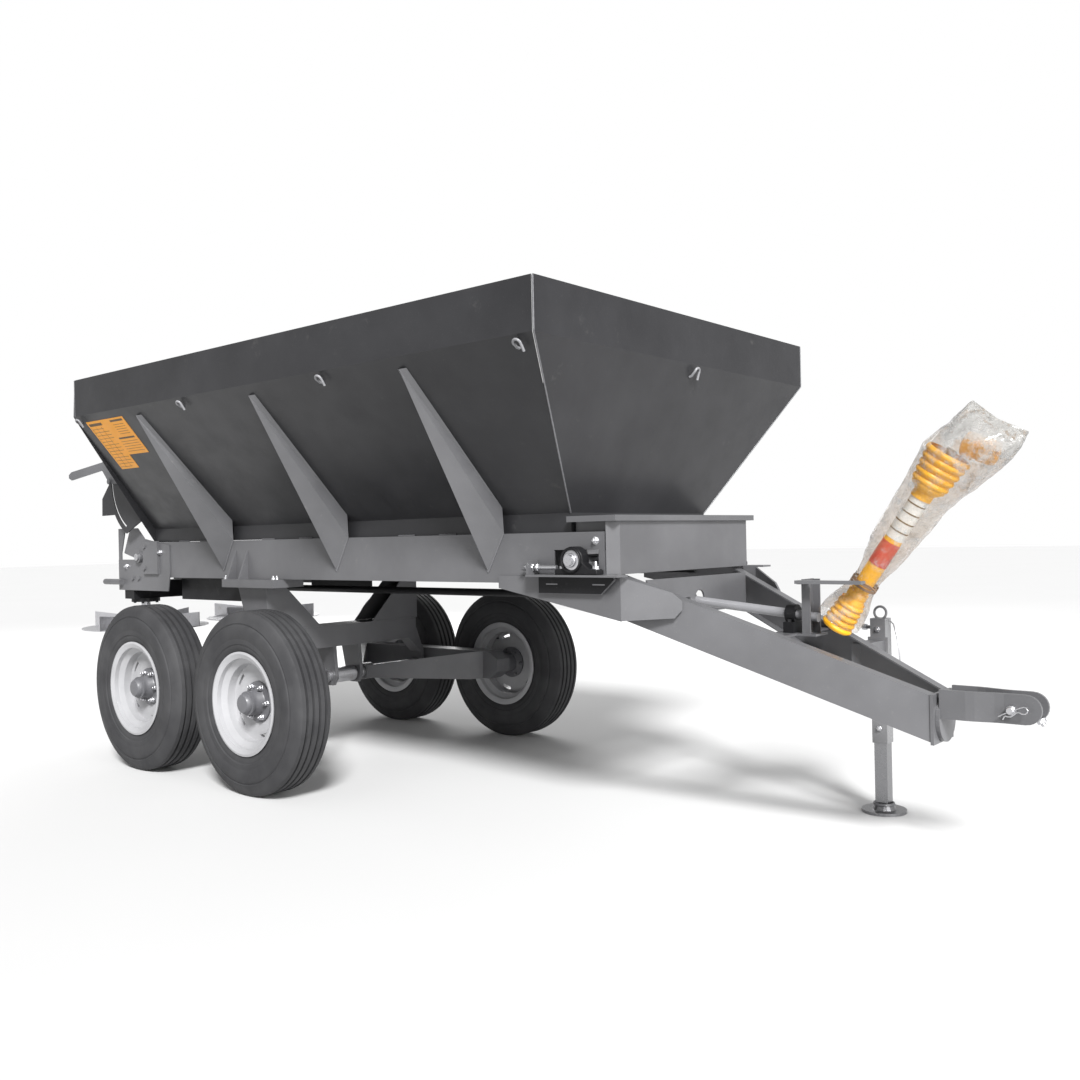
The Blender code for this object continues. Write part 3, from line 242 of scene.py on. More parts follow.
def film(name):
    """Crumpled clear film: milky where it creases, most of all past its upper end; the creases carry a
    painted silvery sheen, and dark flecks are painted shade.
    """
    n = Nodes(name)
    along = n.add("ShaderNodeVectorMath")
    along.operation = "DOT_PRODUCT"
    n.put(along.inputs[0], n.place)
    n.put(along.inputs[1], PTO_RUN)
    crown = n.add("ShaderNodeMapRange", Value=along.outputs["Value"], From_Min=FILM_CLEAR,
                  From_Max=FILM_MILKY_AND_SHEEN, To_Max=0.16)
    lifted = n.add("ShaderNodeMath")
    lifted.operation = "ADD"
    n.put(lifted.inputs[0], n.noise(scale=21.0, detail=6.0, rough=0.75))
    n.put(lifted.inputs[1], crown.outputs["Result"])
    milk_and_sheen = lifted.outputs["Value"]
    tint = n.ramp(n.noise(scale=4.0, detail=2.0), [(0.35, FILM_TANS[0]), (0.65, FILM_TANS[1])])
    # Creases are painted a silvery sheen.
    creases = n.ramp(milk_and_sheen, [(0.50, (0,)), (0.62, (1,))])
    # Dark flecks of painted shade.
    painted_shade = n.ramp(n.noise(scale=34.0, detail=6.0, rough=0.75), [(0.56, (0,)), (0.66, (0.55,))])
    colour = n.mix(painted_shade, n.mix(creases, tint, FILM_PAINTED_SHEEN), FILM_PAINTED_SHADE)
    veil = n.ramp(milk_and_sheen, [(0.42, (0.15,)), (0.56, (0.24,)), (0.68, (0.50,)), (0.80, (0.66,))])
    n.surface(Alpha=veil, Specular_IOR_Level=0.8, Coat_Weight=0.7, Coat_Roughness=0.08)
    n.bump(n.noise(scale=26.0, detail=8.0, rough=0.8), strength=0.8, distance=0.010)
    return n.finish(colour, n.ramp(creases, [(0.0, (0.12,)), (1.0, (0.28,))]))


MATERIALS = {
    # hopper_paint: the frame's grey made much darker, as painted shade on the hopper's sheets.
    "hopper_paint": painted("hopper_enamel_painted_shade", (0.021, 0.021, 0.023), 0.36, 0.05, 0.08, 0.30),
    "frame_paint": painted("frame_enamel", (0.092, 0.092, 0.097), 0.40),
    "dark_steel": painted("black_enamel", (0.007, 0.007, 0.008), 0.45, 0.06, 0.04, 0.20),
    "bright_steel": plated("zinc_plate", (0.60, 0.60, 0.62)),
    "rim_paint": painted("rim_silver", (0.33, 0.33, 0.34), 0.34, 0.30, 0.4),
    "tyre_rubber": rubber("tyre_rubber", (0.026, 0.026, 0.028)),
    "belt_rubber": rubber("belt_rubber", (0.018, 0.018, 0.019)),
    "guard_plastic": plastic("guard_plastic", (0.98, 0.47, 0.008)),
    "yoke_paint": painted("yoke_enamel", (0.86, 0.38, 0.02), 0.40, 0.08),
    "film": film("clear_film"),
}
BLACK = MATERIALS["dark_steel"]
ZINC = MATERIALS["bright_steel"]
HUB_GREY = painted("hub_enamel", (0.10, 0.10, 0.108), 0.45, 0.35, 0.1)
WELD = painted("weld_paint", (0.115, 0.115, 0.122), 0.38)
HOOK_STEEL = painted("hook_paint", (0.20, 0.20, 0.21), 0.34, 0.25)
JACK_GREY = painted("jack_paint", (0.15, 0.15, 0.155), 0.30, 0.20, 0.4)
LEG_STEEL = plated("leg_plate", (0.30, 0.30, 0.31), 0.28)
LABEL_ORANGE = plastic("label_orange", (0.86, 0.34, 0.010), 0.45)
LABEL_WHITE = plastic("label_white", (0.78, 0.78, 0.76), 0.40)
LABEL_RED = plastic("label_red", (0.60, 0.03, 0.03), 0.40)
LABEL_DARK = plastic("label_dark", (0.10, 0.055, 0.012), 0.50)
STRAP = plastic("strap_brown", (0.16, 0.10, 0.06), 0.55)
OWN_LOOKS = {"jack_tube": JACK_GREY, "jack_leg": LEG_STEEL, "drive_shaft": HOOK_STEEL}

for part in frame["record"]["subparts"]:
    node_mesh = frame["nodes"][part["node"]].data
    node_mesh.materials.clear()
    node_mesh.materials.append(OWN_LOOKS.get(part["node"], MATERIALS[part["material_slot"]]))


# ------------------------------------------------------------------- piece making
def piece(name, mesh_data, body, mat, smooth=40.0):
    """Turn a bmesh into a piece that rides on a body."""
    bmesh.ops.recalc_face_normals(mesh_data, faces=mesh_data.faces)
    mesh = bpy.data.meshes.new(name)
    mesh_data.to_mesh(mesh)
    mesh_data.free()
    mesh.shade_smooth()
    mesh.set_sharp_from_angle(angle=math.radians(smooth))
    mesh.materials.append(mat)
    obj = bpy.data.objects.new(name, mesh)
    bpy.context.scene.collection.objects.link(obj)
    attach(obj, body)
    return obj


def skin(target, rings, capped):
    """Join rings of vertices by a band of faces; capped closes the first and the last ring."""
    for first, second in zip(rings, rings[1:]):
        count = len(first)
        for i in range(count):
            j = (i + 1) % count
            target.faces.new((first[i], first[j], second[j], second[i]))
    if capped:
        target.faces.new(rings[0])
        target.faces.new(rings[-1])


def circle(target, matrix, radius, height, steps):
    """Ring of vertices around local Z."""
    ring = []
    for i in range(steps):
        angle = 2 * math.pi * i / steps
        ring.append(target.verts.new(
            matrix @ Vector((radius * math.cos(angle), radius * math.sin(angle), height))))
    return ring


def lathe(target, profile, matrix, steps=96, closed=True):
    """Spin a (radius, height) outline about local Z into a bmesh."""
    rings = [circle(target, matrix, radius, height, steps) for radius, height in profile]
    if closed:
        rings.append(rings[0])
    skin(target, rings, capped=not closed)


def stud(target, matrix, radius, height, thread=0.0):
    """Hexagon head or nut standing on local Z = 0, with an optional threaded end."""
    chamfer = radius * 0.12
    bolt = radius * 0.5
    lathe(target, [(radius, 0.0), (radius, height - chamfer), (radius - chamfer, height)],
          matrix, 6, closed=False)
    if thread > 0.0:
        lathe(target, [(bolt, height - 0.0005), (bolt, height + thread * 0.8),
                       (radius * 0.36, height + thread)], matrix, 12, closed=False)


def washer(target, matrix, radius, height):
    lathe(target, [(radius, 0.0), (radius, height)], matrix, 20, closed=False)


def bar(target, points, radius, sides=10):
    """Round bar swept along points, with capped ends."""
    rings = []
    for i, point in enumerate(points):
        ahead = Vector(points[min(i + 1, len(points) - 1)])
        behind = Vector(points[max(i - 1, 0)])
        rings.append(circle(target, axis_frame(Vector(point), ahead - behind), radius, 0.0, sides))
    skin(target, rings, capped=True)


def bead(target, start, end, radius, step, seed=0.0):
    """Weld bead: a bar with a ripple along its length."""
    run = Vector(end) - Vector(start)
    count = max(3, int(run.length / step))
    profile = []
    for i in range(count + 1):
        ripple = 0.82 + 0.30 * abs(math.sin(i * 1.9 + seed))
        profile.append((radius * ripple, run.length * i / count))
    lathe(target, profile, axis_frame(start, run), 8, closed=False)


def slab(target, matrix, outline, thickness):
    """Flat outline in local XY, with a thickness along local Z."""
    rings = []
    for height in (0.0, thickness):
        rings.append([target.verts.new(matrix @ Vector((u, v, height))) for u, v in outline])
    skin(target, rings, capped=True)


def upright(y):
    """Matrix that stands local XY up as world XZ, at a place across the machine."""
    turn = Matrix(((1, 0, 0, 0), (0, 0, -1, 0), (0, 1, 0, 0), (0, 0, 0, 1)))
    return Matrix.Translation((0.0, y, 0.0)) @ turn


def turned(angle):
    return Matrix.Rotation(angle, 4, "Z")


def shifted(x, y, z):
    return Matrix.Translation((x, y, z))


def bake(obj):
    """Apply an object's modifiers to its mesh."""
    bpy.context.view_layer.update()
    graph = bpy.context.evaluated_depsgraph_get()
    mesh = bpy.data.meshes.new_from_object(obj.evaluated_get(graph))
    obj.modifiers.clear()
    obj.data = mesh


# ------------------------------------------------------------------------- wheels
# Outlines are (radius, height) from the wheel's centre plane, outwards positive. The tyre's
# heights are parts of its half width, and its shoulders are given by their drop from the tread.
SHOULDER_DROPS = ((0.030, 0.86), (0.012, 0.79), (0.003, 0.70))
GROOVES = (0.47, 0.160, -0.160, -0.47)
GROOVE_HALF = 0.0062
GROOVE_DEPTH = 0.013
TYRE_WALL = (
    (0.352, 0.945), (0.349, 0.925), (0.345, 0.925), (0.342, 0.962), (0.338, 0.985), (0.318, 1.0),
    (0.290, 0.998), (0.286, 0.978), (0.281, 0.978), (0.277, 0.985), (0.262, 0.965), (0.257, 0.925),
    (0.250, 0.925), (0.243, 0.915), (0.234, 0.850), (0.222, 0.815))
BEAD_RADIUS = 0.2058
TYRE_INSIDE = ((BEAD_RADIUS, 0.80), (BEAD_RADIUS, 0.66), (0.300, 0.84), (0.380, 0.60))
RIM_PROFILE = (
    (0.2280, 0.0915), (0.2268, 0.0860), (0.2120, 0.0845), (0.2045, 0.0790), (0.2035, 0.0600),
    (0.1800, 0.0430), (0.1780, -0.0430), (0.2035, -0.0600), (0.2045, -0.0790), (0.2120, -0.0845),
    (0.2268, -0.0860), (0.2280, -0.0915), (0.2180, -0.0930), (0.1985, -0.0860), (0.1965, -0.0640),
    (0.1730, -0.0480), (0.1715, -0.0020), (0.1600, -0.0060), (0.1100, -0.0020), (0.0900, -0.0050),
    (0.0560, -0.0060), (0.0560, 0.0010), (0.0900, 0.0020), (0.1100, 0.0080), (0.1350, 0.0120),
    (0.1560, 0.0090), (0.1680, 0.0140), (0.1715, 0.0280), (0.1730, 0.0480), (0.1965, 0.0660),
    (0.1985, 0.0850), (0.2180, 0.0940))
WINDOWS = 5
WINDOW_RADII = (0.1570, 0.1430)
WINDOW_HALF_ANGLE = 12.0
WINDOW_POINTS = 7
HUB_CAP = (
    (0.0900, 0.0025), (0.0900, 0.0105), (0.0860, 0.0125), (0.0600, 0.0130), (0.0560, 0.0180),
    (0.0530, 0.0380), (0.0500, 0.0420), (0.0500, 0.0560), (0.0530, 0.0580), (0.0530, 0.0680),
    (0.0450, 0.0700), (0.0430, 0.0840), (0.0370, 0.0910), (0.0200, 0.0935), (0.0060, 0.0940))
HUB_BARREL = (
    (0.0555, 0.0020), (0.050, -0.098), (0.050, -0.1045), (0.0262, -0.1045), (0.0262, -0.036),
    (0.030, 0.0020))
HUB_FLANGE = (
    (0.0840, -0.0065), (0.0850, -0.0150), (0.0700, -0.0185), (0.0570, -0.0320), (0.0500, -0.0320),
    (0.0500, -0.0065))
NUTS = 6
VALVE = ((0.0045, -0.012), (0.0045, 0.030), (0.0062, 0.030), (0.0062, 0.046), (0.004, 0.048))
VALVE_ANGLE = 0.9
VALVE_REACH = 0.163


def tyre_profile(radius, half):
    """Five-rib tyre: tread from the outer to the inner shoulder, inner wall, inside, outer wall."""
    outline = [(radius - drop, half * part) for drop, part in SHOULDER_DROPS]
    for part in GROOVES:
        height = part * half
        outline += [(radius, height + GROOVE_HALF), (radius - GROOVE_DEPTH, height + GROOVE_HALF * 0.6),
                    (radius - GROOVE_DEPTH, height - GROOVE_HALF * 0.6), (radius, height - GROOVE_HALF)]
    outline += [(radius - drop, -half * part) for drop, part in reversed(SHOULDER_DROPS)]
    outline += [(reach, -part * half) for reach, part in TYRE_WALL]
    outline += [(reach, -part * half) for reach, part in TYRE_INSIDE]
    outline += [(reach, part * half) for reach, part in reversed(TYRE_INSIDE)]
    outline += [(reach, part * half) for reach, part in reversed(TYRE_WALL)]
    return outline


def cut_windows(rim, matrix):
    """Cut the disc's curved windows near its edge."""
    windows = bmesh.new()
    for k in range(WINDOWS):
        outline = []
        for reach, turn in zip(WINDOW_RADII, (1.0, -1.0)):
            for i in range(WINDOW_POINTS):
                share = 2.0 * i / (WINDOW_POINTS - 1) - 1.0
                angle = math.radians(360.0 / WINDOWS * k + turn * share * WINDOW_HALF_ANGLE)
                outline.append((reach * math.cos(angle), reach * math.sin(angle)))
        slab(windows, matrix @ shifted(0.0, 0.0, -0.03), outline, 0.08)
    bmesh.ops.recalc_face_normals(windows, faces=windows.faces)
    tool_mesh = bpy.data.meshes.new("window_tool")
    windows.to_mesh(tool_mesh)
    windows.free()
    tool = bpy.data.objects.new("window_tool", tool_mesh)
    bpy.context.scene.collection.objects.link(tool)
    carve = rim.modifiers.new("windows", "BOOLEAN")
    carve.operation = "DIFFERENCE"
    carve.object = tool
    bake(rim)
    bpy.data.objects.remove(tool, do_unlink=True)


def hub(name, matrix, body):
    """Hub with its cap and inner flange, bolts behind the disc and nuts in front of it."""
    data = bmesh.new()
    lathe(data, HUB_CAP, matrix, 48, closed=False)
    lathe(data, HUB_BARREL, matrix, 40)
    lathe(data, HUB_FLANGE, matrix, 48)
    behind = matrix @ Matrix.Rotation(math.pi, 4, "X")
    for k in range(NUTS):
        around = turned(2 * math.pi * k / NUTS)
        stud(data, behind @ around @ shifted(0.0725, 0, 0.0160), 0.0100, 0.009, 0.007)
    piece("hub_" + name, data, body, HUB_GREY, 40.0)
    nuts = bmesh.new()
    for k in range(NUTS):
        place = matrix @ turned(2 * math.pi * k / NUTS) @ shifted(0.0735, 0, 0.0123)
        washer(nuts, place, 0.0125, 0.0025)
        stud(nuts, place @ shifted(0, 0, 0.002), 0.0105, 0.013, 0.010)
    piece("wheel_nuts_" + name, nuts, body, ZINC)


def wheel(end, label, side):
    """One tyre, rim, hub and valve."""
    name = "%s_%s" % (end, label)
    body = "wheel_" + name
    tyre_node = "tyre_" + name
    low, high = corners(tyre_node)
    radius = (high.z - low.z) / 2
    half = (high.y - low.y - 0.001) / 2
    matrix = axis_frame(middle(tyre_node), (0.0, side, 0.0))
    rubber_data = bmesh.new()
    lathe(rubber_data, tyre_profile(radius, half), matrix, 112)
    carcass = piece("ribbed_tyre_" + name, rubber_data, body, MATERIALS["tyre_rubber"],
                    30.0)
    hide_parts(tyre_node)
    rim_data = bmesh.new()
    lathe(rim_data, RIM_PROFILE, matrix, 72)
    rim = piece("rim_" + name, rim_data, body, MATERIALS["rim_paint"], 35.0)
    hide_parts(body)
    cut_windows(rim, matrix)
    hub(name, matrix, body)
    valve = bmesh.new()
    stem = matrix @ turned(VALVE_ANGLE) @ shifted(VALVE_REACH, 0.0, -0.005)
    lathe(valve, VALVE, stem, 12, closed=False)
    piece("valve_" + name, valve, body, BLACK)


# ---------------------------------------------------------------- hopper fittings
HOOK_PLACES = (-3.085, -2.130, -1.118, -0.075)
FRONT_HOOK = 0.032
HOOK_LIFT = 0.016
HOOK_HALF = 0.015
HOOK_BAR = 0.0050
CORNER_BEAD = 0.0030
TACK_BEAD = 0.0035
TACK_LENGTH = 0.10
TACKS = (-2.955, -2.75, -2.20, -1.90, -1.20, -0.95)
RIB_BEAD = 0.0036
RIB_EDGE = 0.5015               # a rib's edges on the chassis beam's face
RIB_WIDE_Z = 1.1176
BOLT_SIZE = 0.009
PLATE_BOLTS = ((-0.112, 1.085, 0.500), (-3.462, 0.985, 0.5066), (-3.10, 1.062, 0.5066))
SADDLE_X = (-2.418, -2.020)
SADDLE_Y = (0.525, 0.545)
SADDLE_Z = 0.9240


def sheet_hook(target, matrix, x):
    """Round-bar hook for the cover's ropes: welded leg, bend and free tip."""
    route = [(x - HOOK_HALF, -0.052, 0.002), (x - HOOK_HALF, -0.044, HOOK_LIFT * 0.7),
             (x - HOOK_HALF, -0.030, HOOK_LIFT)]
    for i in range(11):
        angle = math.pi * (1.0 - i / 10)
        route.append((x + HOOK_HALF * math.cos(angle), -0.024 + HOOK_HALF * math.sin(angle),
                      HOOK_LIFT + 0.003))
    route += [(x + HOOK_HALF, -0.040, HOOK_LIFT + 0.004), (x + HOOK_HALF, -0.056, HOOK_LIFT + 0.006)]
    bar(target, [matrix @ Vector(point) for point in route], HOOK_BAR, 12)


def hooks():
    for label, side in SIDES:
        data = bmesh.new()
        for x in HOOK_PLACES:
            sheet_hook(data, side_wall(side), x)
        piece("rope_hooks_" + label, data, "chassis", HOOK_STEEL, 60.0)
    data = bmesh.new()
    sheet_hook(data, front_wall(), FRONT_HOOK)
    piece("rope_hook_front", data, "chassis", HOOK_STEEL, 60.0)


def hopper_welds():
    """Beads down the hopper's corners, and tacks along the skirts."""
    data = bmesh.new()
    for _, side in SIDES:
        edge = side * (TOP_HALF - 0.001)
        skirt = side * (SKIRT_HALF + 0.001)
        for x, seed in ((-0.001, 0.0), (HOPPER_END, 2.0)):
            bead(data, spot(x, edge, FOLD_Z), spot(x, edge, RIM_Z - 0.002), CORNER_BEAD, 0.010, seed)
        bead(data, spot(-0.001, edge, FOLD_Z), spot(-FOOT_BACK - 0.001, side * SKIRT_HALF, FOOT_Z),
             CORNER_BEAD, 0.010, 1.0)
        for number, x in enumerate(TACKS, 1):
            bead(data, spot(x, skirt, SKIRT_FOOT), spot(x + TACK_LENGTH, skirt, SKIRT_FOOT),
                 TACK_BEAD, 0.009, number)
    piece("hopper_weld_beads", data, "chassis", WELD, 60.0)


def rib_welds():
    """Beads down both edges of each rib's foot."""
    for label, side in SIDES:
        data = bmesh.new()
        for number in (1, 2, 3):
            low, high = corners("rib_%s_%d" % (label, number))
            x_mid = (low.x + high.x) / 2
            for sign in (-1.0, 1.0):
                x_wide = x_mid + sign * (high.x - low.x) / 2 * 0.97
                bead(data, Vector((x_wide, RIB_EDGE * side, RIB_WIDE_Z)),
                     Vector((x_mid, RIB_EDGE * side, low.z)), RIB_BEAD, 0.010, number * 1.7 + sign)
        piece("rib_weld_beads_" + label, data, "chassis", WELD, 60.0)


def bolts():
    """Bolt heads and nuts with washers that stand on the plates."""
    data = bmesh.new()
    for _, side in SIDES:
        for x, z, reach in PLATE_BOLTS:
            place = axis_frame(spot(x, side * reach, z), (0.0, side, 0.0))
            washer(data, place, BOLT_SIZE * 1.7, 0.002)
            stud(data, place @ shifted(0, 0, 0.0018), BOLT_SIZE * 1.35, BOLT_SIZE, BOLT_SIZE * 0.9)
        for x in SADDLE_X:
            for y in SADDLE_Y:
                place = axis_frame(spot(x, side * y, SADDLE_Z), (0, 0, 1))
                washer(data, place, 0.011, 0.002)
                stud(data, place @ shifted(0, 0, 0.0018), 0.0095, 0.009, 0.008)
    piece("plate_bolts", data, "chassis", ZINC)


# ----------------------------------------------------------------- front bearings
ROLLER_X = FRONT_X - 0.187
ROLLER_Z = 1.0145
HOUSING_RADIUS = 0.0500
BLOCK_DEPTH = 0.044
HOUSING_FACE = (
    (0.0470, -0.012), (0.0475, -0.0010), (0.0440, 0.0000), (0.0400, 0.0000), (0.0375, -0.0060),
    (0.0365, -0.012))
INSERT = (
    (0.0372, -0.020), (0.0372, -0.0070), (0.0340, -0.0055), (0.0275, -0.0055), (0.0265, 0.0040),
    (0.0250, 0.0055), (0.0208, 0.0055), (0.0208, -0.020))
FOOT_BOLTS = (-0.246, -0.092)
SCREW_LENGTH = 0.1530
SCREW_TURNS = 30
SKIRT_OUTLINE = ((-0.367, 0.890), (-0.073, 0.890), (-0.016, 0.941), (-0.016, 0.951), (-0.367, 0.951))
PALE_STRIP_PLACES = (-0.330, -0.110)
PALE_STRIP_SIZE = (0.055, 0.004)


def pillow_block(label, side, low, high):
    """Cast housing with two feet and a round crown."""
    outline = [(low.x, low.z), (high.x, low.z), (high.x, low.z + 0.015), (high.x - 0.008, low.z + 0.020),
               (high.x - 0.036, low.z + 0.022)]
    for i in range(17):
        angle = math.radians(-12.0 + 204.0 * i / 16)
        outline.append((ROLLER_X + HOUSING_RADIUS * math.cos(angle),
                        ROLLER_Z + HOUSING_RADIUS * math.sin(angle)))
    outline += [(low.x + 0.036, low.z + 0.022), (low.x + 0.008, low.z + 0.020), (low.x, low.z + 0.015)]
    face = high.y if side > 0 else low.y
    block = bmesh.new()
    slab(block, upright(0.552 if side > 0 else -0.508), outline, BLOCK_DEPTH)
    lathe(block, HOUSING_FACE, axis_frame((ROLLER_X, face, ROLLER_Z), (0.0, side, 0.0)), 48)
    housing = piece("pillow_block_" + label, block, "chassis", BLACK, 30.0)
    edge = housing.modifiers.new("edge", "BEVEL")
    edge.width = 0.0025
    edge.segments = 2
    edge.limit_method = "ANGLE"
    return housing, face


def bearing_insert(label, side, face, foot_z):
    """Bright insert, the block's bolts, and the tension screw with its two nuts."""
    data = bmesh.new()
    lathe(data, INSERT, axis_frame((ROLLER_X, face, ROLLER_Z), (0.0, side, 0.0)), 40)
    for x in FOOT_BOLTS:
        foot = Matrix.Translation(spot(x, side * 0.530, foot_z))
        washer(data, foot, 0.0150, 0.003)
        stud(data, foot @ shifted(0, 0, 0.0025), 0.0120, 0.011, 0.016)
    screw = axis_frame(spot(-0.4245, side * 0.533, 0.987), (1, 0, 0))
    count = 2 * SCREW_TURNS
    thread = [(0.0088 if i % 2 else 0.0082, SCREW_LENGTH * i / count) for i in range(count + 1)]
    lathe(data, thread, screw, 16, closed=False)
    for reach in (0.034, 0.055):
        stud(data, screw @ shifted(0, 0, reach), 0.0145, 0.010)
    piece("bearing_insert_" + label, data, "chassis", ZINC)


def shelf_guard(label, side):
    """Dark skirt below the bearing's shelf, with two pale strips."""
    outline = [(FRONT_X + x, z) for x, z in SKIRT_OUTLINE]
    skirt = bmesh.new()
    slab(skirt, upright(0.5276 if side > 0 else -0.5262), outline, 0.0014)
    piece("shelf_guard_" + label, skirt, "chassis", BLACK)
    # Two thin pale strips laid on the dark skirt.
    marks = bmesh.new()
    width, height = PALE_STRIP_SIZE
    for x in PALE_STRIP_PLACES:
        left = FRONT_X + x
        outline = [(left, 0.922), (left + width, 0.922), (left + width, 0.922 + height),
                   (left, 0.922 + height)]
        slab(marks, upright(0.5282 if side > 0 else -0.5274), outline, 0.0008)
    piece("shelf_pale_strips_" + label, marks, "chassis", HOOK_STEEL)


def front_bearings():
    """Pillow blocks of the front roller, with their inserts, bolts and tension screws."""
    for label, side in SIDES:
        node = "front_bearing_" + label
        low, high = corners(node)
        housing, face = pillow_block(label, side, low, high)
        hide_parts(node)
        bearing_insert(label, side, face, low.z + 0.0185)
        shelf_guard(label, side)


# ------------------------------------------------------------- instruction label
LABEL_X = (-3.058, -2.885, -2.693)      # rear edge, step and front edge
LABEL_Y = (-0.042, -0.262, -0.345)      # top, step and foot, down the slope from the fold
SHEET = 0.0007


def labels():
    """Stepped label on the right wall, with plain strokes in place of print."""
    rear, step_x, ahead = LABEL_X
    top, step_y, foot = LABEL_Y
    base = side_wall(-1.0) @ shifted(0.0, 0.0, 0.0006)
    data = bmesh.new()
    slab(data, base, [(rear, foot), (step_x, foot), (step_x, step_y), (ahead, step_y), (ahead, top),
                      (rear, top)], SHEET)
    piece("chart_label", data, "chassis", LABEL_ORANGE)
    marks = bmesh.new()
    raised = base @ shifted(0.0, 0.0, SHEET)

    def stroke(left, low, width, height):
        slab(marks, raised, [(left, low), (left + width, low), (left + width, low + height),
                             (left, low + height)], 0.0002)

    stroke(rear + 0.012, top - 0.030, 0.125, 0.016)
    stroke(step_x + 0.055, top - 0.022, 0.120, 0.012)
    stroke(step_x + 0.020, top - 0.125, 0.150, 0.010)
    for row in range(13):
        stroke(rear + 0.012, top - 0.050 - row * 0.020, 0.145 if row % 4 else 0.110, 0.0022)
    for row in range(5):
        stroke(step_x + 0.060, top - 0.040 - row * 0.014, 0.100, 0.0020)
        stroke(step_x + 0.016, top - 0.142 - row * 0.015, 0.160, 0.0020)
    for column in range(3):
        stroke(rear + 0.012 + 0.0485 * column, foot + 0.012, 0.0016, 0.255)
    piece("chart_marks", marks, "chassis", LABEL_DARK)


# -------------------------------------------------------------------- jack, hitch
# The jack's places are (x, y) from the leg's middle and z from the ground.
JACK_CABLE = ((0.034, 0.0, 0.752), (0.052, 0.0, 0.735), (0.066, -0.004, 0.690),
              (0.076, -0.010, 0.640), (0.084, -0.020, 0.560))
JACK_BOLT_HEIGHTS = (0.715, 0.330)
FOOT_WELD = ((0.0385, 0.0), (0.0430, 0.002), (0.0400, 0.009), (0.0355, 0.010))
PIN_X = FRONT_X + 1.196
PIN_Z = 0.518
CROSS_PIN = (
    (0.0098, 0.0780), (0.0118, 0.0760), (0.0118, 0.0685), (0.0149, 0.0665), (0.0149, -0.0505),
    (0.0225, -0.0505), (0.0240, -0.0520), (0.0240, -0.0610), (0.0215, -0.0640))
CLIP_ROUTE = (
    (-0.036, 0.000, -0.021), (-0.016, 0.000, -0.010), (0.014, 0.000, 0.004), (0.032, 0.000, 0.012),
    (0.043, -0.001, 0.015), (0.050, -0.002, 0.013), (0.054, -0.003, 0.006), (0.053, -0.004, -0.001),
    (0.046, -0.005, -0.006), (0.036, -0.005, -0.006), (0.028, -0.005, -0.002), (0.021, -0.005, -0.003),
    (0.014, -0.006, -0.010), (0.004, -0.006, -0.0175), (-0.006, -0.006, -0.0185),
    (-0.012, -0.006, -0.0165), (-0.016, -0.006, -0.019), (-0.021, -0.006, -0.029))
CLIP_Y = -0.0720


def jack_fittings():
    """Release cable, bolts and knob of the jack, and the weld round its foot."""
    leg = middle("jack_leg")

    def at(x, y, z):
        return Vector((leg.x + x, leg.y + y, z))

    data = bmesh.new()
    bar(data, [at(*point) for point in JACK_CABLE], 0.0028, 8)
    for height in JACK_BOLT_HEIGHTS:
        stud(data, axis_frame(at(0.0, -0.0300, height), (0, -1, 0)), 0.011, 0.007, 0.006)
    lathe(data, [(0.012, 0.0), (0.012, 0.016), (0.008, 0.020)],
          axis_frame(at(-0.055, 0.0, 0.720), (-1, 0, 0)), 16, closed=False)
    piece("jack_fittings", data, "chassis", ZINC)
    weld = bmesh.new()
    lathe(weld, FOOT_WELD, axis_frame(at(0.0, 0.0, 0.028), (0, 0, 1)), 32)
    piece("jack_foot_weld", weld, "jack_leg", WELD)


def hitch_fittings():
    """Turned cross pin, its spring clip, and the bolt under the clevis's nose."""
    data = bmesh.new()
    lathe(data, CROSS_PIN, axis_frame((PIN_X, 0.0, PIN_Z), (0, -1, 0)), 40, closed=False)
    pin = piece("cross_pin", data, "hitch_pin", ZINC, 35.0)
    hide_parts("hitch_pin")
    clip = bmesh.new()
    bar(clip, [Vector((PIN_X + x, CLIP_Y + y, PIN_Z + z)) for x, y, z in CLIP_ROUTE], 0.0022, 8)
    piece("retaining_clip", clip, "hitch_pin", ZINC, 60.0)
    nose = bmesh.new()
    place = axis_frame((PIN_X + 0.060, 0.041, 0.4800), (0.5, 0.0, -0.85))
    washer(nose, place, 0.019, 0.003)
    stud(nose, place @ shifted(0, 0, 0.0028), 0.015, 0.011, 0.010)
    piece("nose_bolt", nose, "hitch_clevis", ZINC)


# ---------------------------------------------------------------- shaft and guard
# Outlines here are (radius, reach along the parked shaft).
FOLD_DEPTH = 0.0085
GUARD_SHEET = 0.0030
FOLDS = 5
LOWER_COLLAR = ((0.0440, 0.092), (0.0440, 0.082), (0.0335, 0.110), (0.0310, 0.110), (0.0400, 0.080))
UPPER_COLLAR = ((0.0600, 0.577), (0.0600, 0.568), (0.0345, 0.545), (0.0310, 0.547), (0.0560, 0.574))
GUARD_TUBE = ((0.0325, 0.590), (0.0325, 0.100), (0.0295, 0.100), (0.0295, 0.590))
GUARD_WRAPS = (("guard_label_white", 0.36, 0.53, LABEL_WHITE), ("guard_label_red", 0.25, 0.345, LABEL_RED))
YOKE_ENDS = ((1.050, 0.0, 1.381), (1.150, 0.0, 1.340))
YOKE_COLLAR = (
    (0.0395, 0.1080), (0.0400, 0.0950), (0.0425, 0.0900), (0.0425, 0.0560), (0.0370, 0.0520),
    (0.0370, 0.0440), (0.0440, 0.0400), (0.0445, 0.0040), (0.0400, 0.0005), (0.0210, 0.0005),
    (0.0180, 0.0200), (0.0180, 0.1080))


def along_shaft(target, profile, steps=48):
    lathe(target, profile, axis_frame(PTO_START, PTO_RUN), steps)


